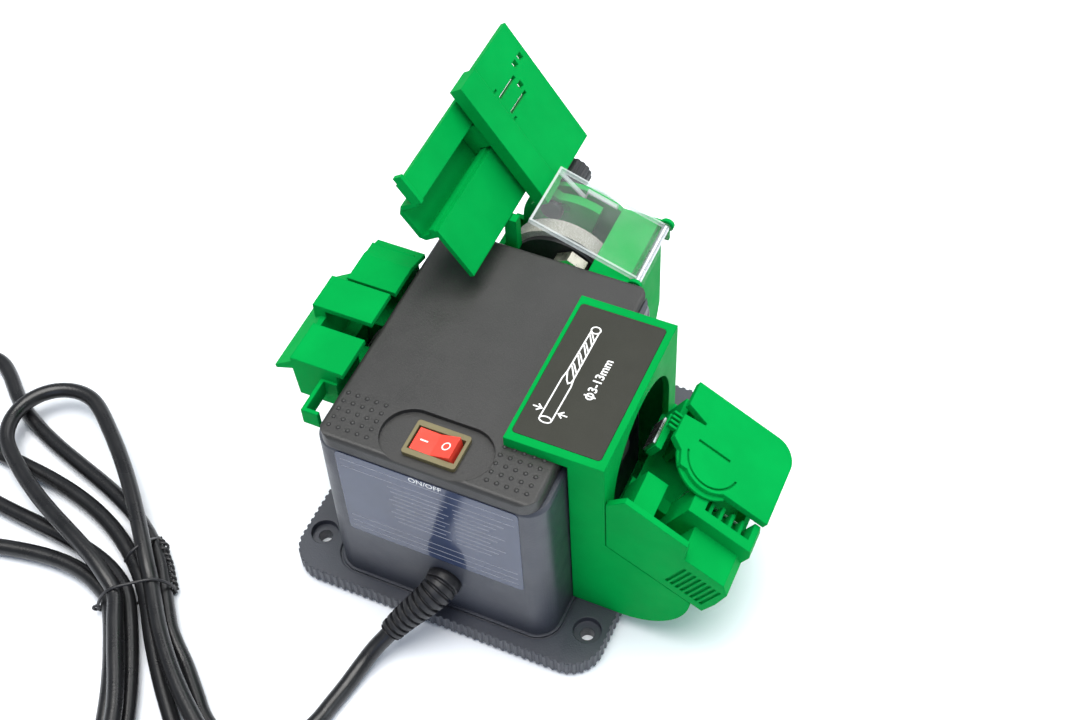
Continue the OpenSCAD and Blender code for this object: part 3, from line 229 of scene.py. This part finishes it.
def metal(name, colour, rough, scale=300.0, stretch=(1, 1, 1), edge=0.0003):
    """Metal with fine machining marks."""
    material, tree, bsdf = new_material(name)
    bsdf.inputs["Metallic"].default_value = 1.0
    coord = tree.nodes.new("ShaderNodeTexCoord")
    mapping = tree.nodes.new("ShaderNodeMapping")
    mapping.inputs["Scale"].default_value = stretch
    link(tree, coord.outputs["Object"], mapping.inputs["Vector"])
    marks = tree.nodes.new("ShaderNodeTexNoise")
    marks.inputs["Scale"].default_value = scale
    marks.inputs["Detail"].default_value = 5.0
    link(tree, mapping.outputs["Vector"], marks.inputs["Vector"])
    dark = tuple(c * 0.82 for c in colour) + (1,)
    tone = ramp(tree, marks.outputs["Fac"], 0.3, 0.7, dark, tuple(colour) + (1,))
    link(tree, tone.outputs["Color"], bsdf.inputs["Base Color"])
    gloss = ramp(tree, marks.outputs["Fac"], 0.3, 0.7, (rough - 0.08,) * 3 + (1,), (rough + 0.08,) * 3 + (1,))
    link(tree, gloss.outputs["Color"], bsdf.inputs["Roughness"])
    bevel = tree.nodes.new("ShaderNodeBevel")
    bevel.samples = 4
    bevel.inputs["Radius"].default_value = edge
    link(tree, bevel.outputs["Normal"], bsdf.inputs["Normal"])
    return material


def stone(name, low, high):
    """Bonded grit."""
    material, tree, bsdf = new_material(name)
    grit = noise(tree, 1800.0, 2.0, 0.7)
    tone = ramp(tree, grit.outputs["Fac"], 0.3, 0.62, low + (1,), high + (1,))
    link(tree, tone.outputs["Color"], bsdf.inputs["Base Color"])
    bsdf.inputs["Roughness"].default_value = 0.95
    bump = tree.nodes.new("ShaderNodeBump")
    bump.inputs["Strength"].default_value = 0.6
    bump.inputs["Distance"].default_value = 0.0004
    link(tree, grit.outputs["Fac"], bump.inputs["Height"])
    link(tree, bump.outputs["Normal"], bsdf.inputs["Normal"])
    return material


def clear(name, low, high):
    """Clear moulded sheet with faint smears, thinner or denser by its opacity."""
    material, tree, bsdf = new_material(name)
    bsdf.inputs["Base Color"].default_value = (0.86, 0.9, 0.9, 1)
    smear = noise(tree, 60.0, 6.0)
    gloss = ramp(tree, smear.outputs["Fac"], 0.4, 0.8, (0.04,) * 3 + (1,), (0.18,) * 3 + (1,))
    link(tree, gloss.outputs["Color"], bsdf.inputs["Roughness"])
    haze = ramp(tree, smear.outputs["Fac"], 0.35, 0.7, (low,) * 3 + (1,), (high,) * 3 + (1,))
    link(tree, haze.outputs["Color"], bsdf.inputs["Alpha"])
    return material


GREEN = plastic("green_plastic", (0.0002, 0.3, 0.052), 0.5, grain=0.1, grain_scale=1400.0, spread=0.06,
                edge=0.0006, spec=0.02)
BLACK = plastic("black_plastic", (0.025, 0.0245, 0.0235), 0.42, grain=0.2, grain_scale=1500.0, edge=0.0006)
# Housing walls and base plate: the same black plastic as the top cover, with a bluish tint in the base colour that is a
# painted reflection of the blue light on the walls.
HOUSE_PAINTED_REFLECTION = plastic("housing_plastic_painted_reflection", (0.028, 0.032, 0.046), 0.42, grain=0.2, grain_scale=1500.0, edge=0.0006,
                spec=0.65)
DARK = plastic("dark_plastic", (0.018, 0.018, 0.02), 0.4, grain=0.15, grain_scale=1500.0, edge=0.0004)
RUBBER = plastic("rubber", (0.01, 0.01, 0.012), 0.45, grain=0.3, grain_scale=1200.0, spread=0.15, edge=0.0003)
SHEATH = plastic("cord_sheath", (0.008, 0.008, 0.009), 0.3, grain=0.12, spread=0.2, edge=0.0003)
TAN = plastic("switch_plastic", (0.16, 0.135, 0.062), 0.4, grain=0.1, grain_scale=1500.0, spread=0.08, edge=0.0003)
RED = plastic("rocker_plastic", (0.9, 0.065, 0.04), 0.22, spread=0.06, edge=0.0004, coat=0.4)
WHITE = printed("white_print", (0.88, 0.88, 0.86))
GREY = printed("grey_print", (0.36, 0.37, 0.42))
PANEL = plastic("black_panel", (0.018, 0.0185, 0.0115), 0.5, grain=0.12, grain_scale=1800.0, spread=0.08,
                edge=0.0003, spec=0.35)
LABEL = plastic("label", (0.036, 0.05, 0.098), 0.1, grain=0.02, grain_scale=600.0, edge=0.0003, coat=0.2)
STEEL = metal("steel", (0.68, 0.69, 0.71), 0.3, 350.0, (1, 6, 1))
ZINC = metal("zinc", (0.78, 0.74, 0.62), 0.34, 500.0)
CAST = metal("cast_aluminium", (0.6, 0.61, 0.63), 0.5, 700.0)
IRON = metal("iron", (0.22, 0.22, 0.23), 0.55, 600.0)
BRASS = metal("brass", (0.8, 0.6, 0.24), 0.28, 400.0)
COPPER = metal("copper", (0.75, 0.38, 0.2), 0.32, 400.0)
STONE = stone("grinding_stone", (0.22, 0.21, 0.18), (0.38, 0.37, 0.33))
# Near-black grit stone for the knife and drill wheels: painted shade, darkening the knife wheel where it shows in the
# shadowed gap beside the guide.
STONE_PAINTED_SHADE = stone("stone_painted_shade", (0.02, 0.021, 0.022), (0.07, 0.07, 0.07))
CLEAR = clear("clear_plastic", 0.03, 0.06)
# Denser whitish clear sheet for the guard's painted edge highlights.
CLEAR_PAINTED_HIGHLIGHT = clear("clear_plastic_painted_highlight", 0.26, 0.4)

LOOKS = {
    "base_plate": HOUSE_PAINTED_REFLECTION, "rubber_feet": RUBBER, "housing_screws": STEEL, "housing": HOUSE_PAINTED_REFLECTION, "top_cover": BLACK,
    "switch_frame": TAN, "switch_rocker": RED, "switch_terminals": BRASS,
    "strain_relief": RUBBER, "relief_bush": RUBBER, "cord_clamp": BLACK, "power_cord": SHEATH,
    "cord_hank": SHEATH, "wire_tie": DARK, "plug_body": RUBBER, "plug_pins": BRASS,
    "motor_can": ZINC, "motor_end_caps": CAST, "stator_core": IRON, "motor_cradles": BLACK,
    "motor_bearings": STEEL, "brush_holders": BRASS, "motor_shaft": STEEL, "rotor_core": COPPER,
    "commutator": COPPER, "cooling_fan": DARK, "motor_pulley": CAST, "drive_belt": RUBBER,
    "front_bearing_plate": CAST, "rear_bearing_plate": CAST, "spindle_bearings": STEEL,
    "chisel_spindle": STEEL, "chisel_pulley": CAST, "chisel_wheel": STONE, "chisel_flange": DARK, "chisel_nut": ZINC,
    "knife_spindle": STEEL, "knife_pulley": CAST, "knife_wheel": STONE_PAINTED_SHADE, "knife_nut": ZINC,
    "drill_spindle": STEEL, "drill_pulley": CAST, "drill_wheel": STONE_PAINTED_SHADE, "drill_nut": ZINC,
    "knife_guide": GREEN, "drill_port": GREEN, "drill_panel": PANEL, "drill_tray": GREEN, "drill_vee": STEEL,
    "drill_stop": STEEL, "drill_clamp": GREEN, "rear_housing": GREEN, "rear_nut": ZINC, "spark_guard": CLEAR,
    "guard_pin": STEEL, "chisel_rail": GREEN, "chisel_carriage": GREEN, "lock_knob": DARK,
}
for name, node in NODES.items():
    node.data.materials.clear()
    node.data.materials.append(LOOKS[name])


# Mesh helpers

def add_mesh(name, mesh, material, body, smooth=True):
    piece = bpy.data.objects.new(name, mesh)
    bpy.context.scene.collection.objects.link(piece)
    mesh.materials.append(material)
    for face in mesh.polygons:
        face.use_smooth = smooth
    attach(piece, body)
    return piece


def from_bmesh(name, bm, material, body, smooth=False):
    bmesh.ops.recalc_face_normals(bm, faces=bm.faces)
    mesh = bpy.data.meshes.new(name)
    bm.to_mesh(mesh)
    bm.free()
    return add_mesh(name, mesh, material, body, smooth)


# Cord route, as in the part's source, in mm from the housing's centre

CORD_D = 6.6
CORD_R = CORD_D / 2
TIE_D = 1.4
TIE_AT = Vector((-113, -98, 0))
TIE_DIR = -52
STRAND = CORD_D + 0.6
LOW_Z = CORD_R + TIE_D + 0.3
HIGH_Z = LOW_Z + 0.9 * STRAND
SLOTS = [(1.5, LOW_Z), (0.5, LOW_Z), (-0.5, LOW_Z), (-1.5, LOW_Z), (1, HIGH_Z), (-1, HIGH_Z)]
LEAD = [Vector(p) for p in (
    (-11.1, -76.2, 11.8), (-14.5, -82.5, 8.3), (-17, -90, 5.2), (-18.8, -99, 3.7), (-20.5, -108, 3.4),
    (-22, -116, 3.4), (-25.5, -125, 3.4), (-31, -131, 3.4), (-38.5, -135, 3.4), (-47, -136.2, 3.4),
    (-55.5, -134.9, 3.4), (-63, -130.8, 3.4), (-69.2, -125.2, 3.4))]


def turned(angle):
    return Vector((math.cos(math.radians(angle)), math.sin(math.radians(angle)), 0))


def high(z):
    return Vector((0, 0, z))


def waist(k, along=0):
    return TIE_AT + high(SLOTS[k][1]) + SLOTS[k][0] * STRAND * turned(TIE_DIR + 90) + along * turned(TIE_DIR)


def bezier(a, b, c, d, n):
    return [(1 - t) ** 3 * a + 3 * t * (1 - t) ** 2 * b + 3 * t * t * (1 - t) * c + t ** 3 * d
            for t in (i / n for i in range(n))]


def knot(p, i):
    if i < 0:
        return 2 * p[0] - p[1]
    if i >= len(p):
        return 2 * p[-1] - p[-2]
    return p[i]


def curve_point(p, u):
    n = len(p) - 1
    i = min(int(u * n), n - 1)
    t = u * n - i
    a, b, c, d = (knot(p, j) for j in (i - 1, i, i + 1, i + 2))
    return 0.5 * (2 * b + (c - a) * t + (2 * a - 5 * b + 4 * c - d) * t * t + (3 * b - a - 3 * c + d) * t ** 3)


def curve(p, n):
    return [curve_point(p, i / n) for i in range(n + 1)]


def loop(a, b, way, reach, w, side, z, lift, pull, past=0, fan=(0, 0)):
    out = TIE_DIR if abs(way - TIE_DIR) < 90 else TIE_DIR + 180
    mid = TIE_AT + reach * turned(way)
    bend = [mid + w / 2 * turned(way + side * (90 + past) * (i / 4 - 1)) + high(z[0] + (z[1] - z[0]) * i / 8)
            for i in range(9)]
    near = [reach * pull[0] * turned(out + f) for f in fan]
    far = [reach * pull[1] * turned(way + f) for f in (-side * past, side * past)]
    return (bezier(waist(a), waist(a) + near[0] + high(lift[0]), bend[0] - far[0], bend[0], 9) + bend[:8]
            + bezier(bend[8], bend[8] - far[1], waist(b) + near[1] + high(lift[1]), waist(b), 9))


def by_tie(s, t, z):
    return TIE_AT + s * turned(TIE_DIR) + t * turned(TIE_DIR + 90) + high(z)


def hank_route():
    floor = CORD_R + 0.1
    upper = floor + STRAND
    back = turned(138)
    start = LEAD[-1]
    tail = [waist(5)] + [by_tie(*p) for p in (
        (25, -9, 12.2), (50, -11.5, 12), (72, -19, 11.9), (88, -31, 11.4),
        (103, -44, 8.6), (112, -51.5, 7), (119, -57, 6.9))]
    return ([start, start + CORD_D * back]
            + bezier(start + 2 * CORD_D * back, start + 20 * back, waist(0, 22), waist(0, 8), 5)
            + loop(0, 1, 155, 140, 40, 1, (floor, floor), (0, 0), (0.38, 0.36), 20, (-4, 6))
            + loop(1, 2, -54, 108, 42, -1, (floor, floor), (0, 0), (0.62, 0.2))
            + loop(2, 3, 178, 122, 40, 1, (floor, floor), (0, 0), (0.26, 0.4), 16, (6, 14))
            + loop(3, 4, -53, 110, 66, 1, (floor, upper), (0, 2), (0.55, 0.22))
            + loop(4, 5, 144, 91, 40, 1, (upper + 0.4, upper + 0.4), (5, 5), (0.3, 0.45), 0, (4, 16))
            + curve(tail, 14))


def tube_data(name, lines, radius, sides):
    data = bpy.data.curves.new(name, "CURVE")
    data.dimensions = "3D"
    data.bevel_depth = radius * MM
    data.bevel_resolution = sides
    data.use_fill_caps = True
    for line in lines:
        spline = data.splines.new("POLY")
        spline.points.add(len(line) - 1)
        for target, p in zip(spline.points, line):
            target.co = (*at(*p), 1)
    return data


def add_curve(name, points, radius, material, body):
    data = tube_data(name, [points], radius, 6)
    data.materials.append(material)
    piece = bpy.data.objects.new(name, data)
    bpy.context.scene.collection.objects.link(piece)
    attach(piece, body)
    return piece


def as_mesh(name, data):
    source = bpy.data.objects.new(name + "_source", data)
    bpy.context.scene.collection.objects.link(source)
    bpy.context.view_layer.update()
    mesh = bpy.data.meshes.new_from_object(source)
    bpy.data.objects.remove(source)
    mesh.materials.clear()
    return mesh


def add_tie():
    """Thin wire round the bundle, its two ends twisted together beside it."""
    steps = 60
    across = turned(TIE_DIR + 90)
    band = [TIE_AT + o * across + high(z) for o, z in (
        (15.2, 3.6), (14.6, 7), (12.6, 11), (9.6, 14.3), (6, 15.6), (0, 15.7), (-6, 15.6), (-9.6, 14.3), (-12.6, 11),
        (-14.8, 6.5), (-15.6, 3.2), (-14.6, 1.6), (-12, 0.9), (0, 0.8), (12, 0.9), (15.2, 2.4))]
    knot_ring = [TIE_AT + (-16.0 + 1.3 * math.cos(a)) * across + high(4.2 + 1.3 * math.sin(a))
                 for a in (math.radians(30 * i) for i in range(13))]
    start = TIE_AT + 15.2 * across + high(3.6)
    middle = curve([start, Vector((-105.0, -84.2, 4.4)), Vector((-109.3, -79.3, 5)), Vector((-114.2, -75.4, 5.4)),
                    Vector((-119.5, -71.2, 5.4))], steps)
    twist = []
    for phase in (0, 180):
        line = []
        for i, p in enumerate(middle):
            t = (middle[min(i + 1, steps)] - middle[max(i - 1, 0)]).normalized()
            s = t.cross(Vector((0, 0, 1))).normalized()
            a = math.radians(phase + 30 * i)
            wide = 0.85 + 1.2 * max(0.0, 1 - abs(i - 48) / 9.0)
            line.append(p + wide * (math.cos(a) * s + math.sin(a) * s.cross(t)))
        twist.append(line)
    over = curve([middle[-1], Vector((-119.3, -73.4, 8)), Vector((-118.4, -78.5, 14.5)), Vector((-120.6, -85, 15.4)),
                  Vector((-123.0, -88.5, 11))], 30)
    mesh = as_mesh("tie_wire", tube_data("tie_wire", [curve(band, 64), knot_ring, over] + twist, 0.6, 3))
    return add_mesh("tie_wire", mesh, DARK, "base")


route = curve(LEAD, 40) + hank_route()[1:]
route = curve(route, 4 * (len(route) - 1))
cord = add_curve("mains_cord", route, CORD_R, SHEATH, "base")
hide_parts("power_cord", "cord_hank")
tie = add_tie()
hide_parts("wire_tie")


def sweep(name, path, radii, sides, material, body):
    """Closed tube along a path in mm, with one radius for each point."""
    bm = bmesh.new()
    rings = []
    for i, p in enumerate(path):
        t = (path[min(i + 1, len(path) - 1)] - path[max(i - 1, 0)]).normalized()
        s = t.cross(Vector((0, 0, 1))).normalized()
        u = s.cross(t)
        rings.append([bm.verts.new(at(*(p + radii[i] * (
            math.cos(2 * math.pi * k / sides) * s + math.sin(2 * math.pi * k / sides) * u)))) for k in range(sides)])
    for a, b in zip(rings, rings[1:]):
        for k in range(sides):
            j = (k + 1) % sides
            bm.faces.new((a[k], b[k], b[j], a[j]))
    bm.faces.new(rings[0])
    bm.faces.new(rings[-1])
    return from_bmesh(name, bm, material, body, True)


def add_strain_relief():
    ribs = 11
    steps = 20 * ribs
    first = Vector((3, -54.2, 27))
    last = Vector((-11, -76, 12))
    way = Vector((-0.4, -0.72, -0.57))
    start = first - Vector((0, 1.5, 0))
    path = bezier(start, start - Vector((0, 8, 0)), last - 10 * way, last, steps) + [last]
    radii = []
    for i in range(steps + 1):
        u = i / steps
        phase = (u * ribs) % 1.0
        groove = 1.0 if 0.62 < phase < 0.95 else 0.0
        radii.append(7.0 - 2.3 * u - 1.15 * groove)
    radii = [radii[0]] + [(radii[i - 1] + 2 * radii[i] + radii[i + 1]) / 4 for i in range(1, steps)] + [radii[-1] - 0.5]
    piece = sweep("relief_boot", [first] + path, [7.0] + radii, 32, RUBBER, "base")
    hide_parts("strain_relief")


def prism(bm, outline, z0, z1, place):
    """Adds a flat shape, given by its outline in mm, between two heights."""
    low = [bm.verts.new(place @ Vector((x * MM, y * MM, z0 * MM))) for x, y in outline]
    top = [bm.verts.new(place @ Vector((x * MM, y * MM, z1 * MM))) for x, y in outline]
    n = len(outline)
    bm.faces.new(top)
    bm.faces.new(low[::-1])
    for k in range(n):
        j = (k + 1) % n
        bm.faces.new((low[k], low[j], top[j], top[k]))


def stroke(bm, points, width, z0, z1, place, closed=False):
    """Adds one mitred line of even width through points in mm."""
    pts = [Vector(p) for p in points]
    n = len(pts)
    sides = []
    for i, p in enumerate(pts):
        a = pts[i - 1] if i > 0 or closed else p
        b = pts[(i + 1) % n] if i < n - 1 or closed else p
        before = (p - a).normalized() if a is not p else (b - p).normalized()
        after = (b - p).normalized() if b is not p else before
        across = Vector((-before.y - after.y, before.x + after.x)).normalized()
        reach = width / 2 / max(0.4, across.dot(Vector((-after.y, after.x))))
        sides.append((p + reach * across, p - reach * across))
    rings = [[bm.verts.new(place @ Vector((q.x * MM, q.y * MM, z * MM)))
              for q, z in ((l, z1), (r, z1), (r, z0), (l, z0))] for l, r in sides]
    for a, b in zip(rings, rings[1:] + rings[:1] if closed else rings[1:]):
        for k in range(4):
            bm.faces.new((a[k], a[(k + 1) % 4], b[(k + 1) % 4], b[k]))
    if not closed:
        bm.faces.new(rings[0])
        bm.faces.new(rings[-1])


def ring(cx, cy, rx, ry, n=28):
    return [(cx + rx * math.cos(a), cy + ry * math.sin(a)) for a in (math.radians(360.0 * i / n) for i in range(n))]


def rounded(w, d, r, n=6):
    """Outline of a rectangle with round corners."""
    x, y = w / 2 - r, d / 2 - r
    points = []
    for cx, cy, q in ((x, y, 0), (-x, y, 90), (-x, -y, 180), (x, -y, 270)):
        points += [(cx + r * math.cos(a), cy + r * math.sin(a))
                   for a in (math.radians(q + 90 * i / n) for i in range(n + 1))]
    return points


def on_rocker(x, slope):
    """Place of a mark on one of the rocker's two sloping faces."""
    face_z = 3.37
    tilt = Matrix.Rotation(math.radians(-ROCKER_TILT), 4, "Y")
    lift = Matrix.Translation(Vector((x, 0, face_z)) * MM)
    return Matrix.Translation(at(*ROCKER)) @ tilt @ lift @ Matrix.Rotation(math.radians(slope), 4, "Y")


def add_rocker_marks():
    """On and off marks, a line and a ring."""
    slope = math.degrees(math.atan2(1.4, 8.0))
    side, top = 4.4, 0.06
    bm = bmesh.new()
    stroke(bm, [(-1.5, 0), (1.5, 0)], 0.6, -PRINT_SINK, top, on_rocker(-side, slope))
    stroke(bm, ring(0, 0, 1.5, 1.5), 0.5, -PRINT_SINK, top, on_rocker(side, -slope), True)
    from_bmesh("rocker_marks", bm, WHITE, "rocker")


def text_mesh(name, words, size, place, material, body, bold=0.0):
    data = bpy.data.curves.new(name, "FONT")
    data.body = words
    data.size = size * MM
    data.align_x = "CENTER"
    data.align_y = "CENTER"
    data.extrude = 0.00003
    data.offset = bold
    mesh = as_mesh(name, data)
    mesh.transform(place)
    return add_mesh(name, mesh, material, body, False)


def add_panel_print():
    """Plain drill sign and the drill sizes on the port's panel."""
    line_w, bold_w, sign_x = 0.56, 0.62, -8.0
    bm = bmesh.new()
    place = Matrix.Translation(at(33.0, 1.5, PANEL_TOP)) @ Matrix.Rotation(math.radians(-1.2), 4, "Z")
    turn = Matrix.Translation(at(43.2, 2.6, PANEL_TOP)) @ Matrix.Rotation(math.radians(88.5), 4, "Z")
    lines = [([(-2.3, -22), (-2.3, -3), (-1.8, 0.5), (-1.5, 20.4)], False),
             ([(2.3, -22), (2.3, -5.5), (1.8, -2), (1.5, 20.4)], False),
             (ring(0, -22, 2.3, 1.3), True), (ring(0, 21.5, 1.75, 1.55), True),
             ([(-1.8, 0.5), (-0.4, -3.2), (0.7, -4.6), (1.6, -3.6), (1.8, -2)], False)]
    for i in range(4):
        y = -1.5 + 5.2 * i
        lines.append(([(1.7, y), (0.9, y + 1.2), (-0.9, y + 4.2), (-1.6, y + 5.0)], False))
        lines.append(([(1.7, y + 2.2), (0.9, y + 3.2), (-0.8, y + 5.6), (-1.5, y + 6.2)], False))
    for side in (-1, 1):
        lines.append(([(side * 6.6, -18), (side * 3.2, -18)], False))
        lines.append(([(side * 4.9, -16.6), (side * 3.2, -18), (side * 4.9, -19.4)], False))
    for k, (points, closed) in enumerate(lines):
        stroke(bm, points, line_w, -PRINT_SINK, 0.02 + 0.002 * k, place, closed)
    stroke(bm, ring(sign_x, 0, 1.3, 1.3), bold_w, -PRINT_SINK, 0.03, turn, True)
    stroke(bm, [(sign_x, -2.3), (sign_x, 2.3)], line_w, -PRINT_SINK, 0.034, turn)
    from_bmesh("panel_sign", bm, WHITE, "base")
    beside = turn @ Matrix.Translation((1.75 * MM, 0, 0))
    text_mesh("panel_sizes", "3-13mm", 4.7, beside, WHITE, "base", 0.0001)


def add_dimples():
    """Two pads of small domes at the cover's front corners."""
    count, pitch_x, pitch_y, radius, flat = 5, 3.8, 3.75, 0.95, 0.75
    bm = bmesh.new()
    for x0 in (-39.3, 22.6):
        for i in range(count):
            for j in range(count):
                place = Matrix.Translation(at(x0 + pitch_x * i, -48.3 + pitch_y * j, COVER_TOP))
                bmesh.ops.create_uvsphere(bm, u_segments=16, v_segments=10, radius=radius * MM,
                                          matrix=place @ Matrix.Diagonal((1, 1, flat, 1)))
    from_bmesh("cover_dimples", bm, BLACK, "base", True)


def add_label():
    """Bare glossy plate on the housing's front, with plain rule lines and the switch's words."""
    mid_z = 65.0
    low, high_rule = 0.15, 0.22
    lean = math.atan2(DRAFT, WALL_H)
    mid = at(0.5, FRONT_Y + DRAFT * (mid_z - FOOT_Z) / WALL_H - 0.02, mid_z)
    place = Matrix.Translation(mid) @ Matrix.Rotation(math.radians(90) - lean, 4, "X")
    bm = bmesh.new()
    prism(bm, rounded(72.0, 50.0, 2.0), -0.1, 0.18, place)
    from_bmesh("front_label", bm, LABEL, "base")
    bm = bmesh.new()
    for y in (21.2, 17.0, -14.6, -18.2, -21.6):
        stroke(bm, [(-34.0, y), (34.0, y)], 0.24, low, high_rule, place)
    for k in range(9):
        y = 13.6 - 2.7 * k
        for x0, x1 in ((-16.0 + (k % 3), 8.0 - 2.0 * (k % 2)), (10.0, 30.0 - 3.0 * (k % 3))):
            stroke(bm, [(x0, y), (x1, y)], 0.3, low, high_rule, place)
    from_bmesh("label_rules", bm, GREY, "base")
    words = place @ Matrix.Translation(Vector((0, 23.4, 0.2)) * MM)
    text_mesh("label_words", "ON/OFF", 3.6, words, WHITE, "base")


def add_guard_edges():
    """Painted highlights: strips of denser whitish clear sheet along the guard's rims and its rib."""
    place = Matrix.Translation(at(*GUARD_HINGE)) @ Matrix.Rotation(math.radians(GUARD_TILT), 4, "Y")
    upright = place @ Matrix(((1, 0, 0, 0), (0, 0, -1, 0), (0, 1, 0, 0), (0, 0, 0, 1)))
    y0, y1, left = 56.4, 86.4, -47.04
    bm = bmesh.new()
    for a, b in (((left, y0), (left + 0.9, y1)), ((left, y0), (-1, y0 + 0.9)), ((left, y1 - 0.7), (-1, y1))):
        prism(bm, [a, (b[0], a[1]), b, (a[0], b[1])], 0.79, 2.82, place)
    rib = [(left, 1.0), (-33, -5.9), (-33, -1.3), (-20.3, -1.3), (-20.3, 2.0)]
    stroke(bm, rib, 0.7, -y1 - 0.02, -y1 + 1.82, upright)
    from_bmesh("guard_painted_highlights", bm, CLEAR_PAINTED_HIGHLIGHT, "guard")


add_strain_relief()
add_rocker_marks()
add_panel_print()
add_dimples()
add_label()
add_guard_edges()
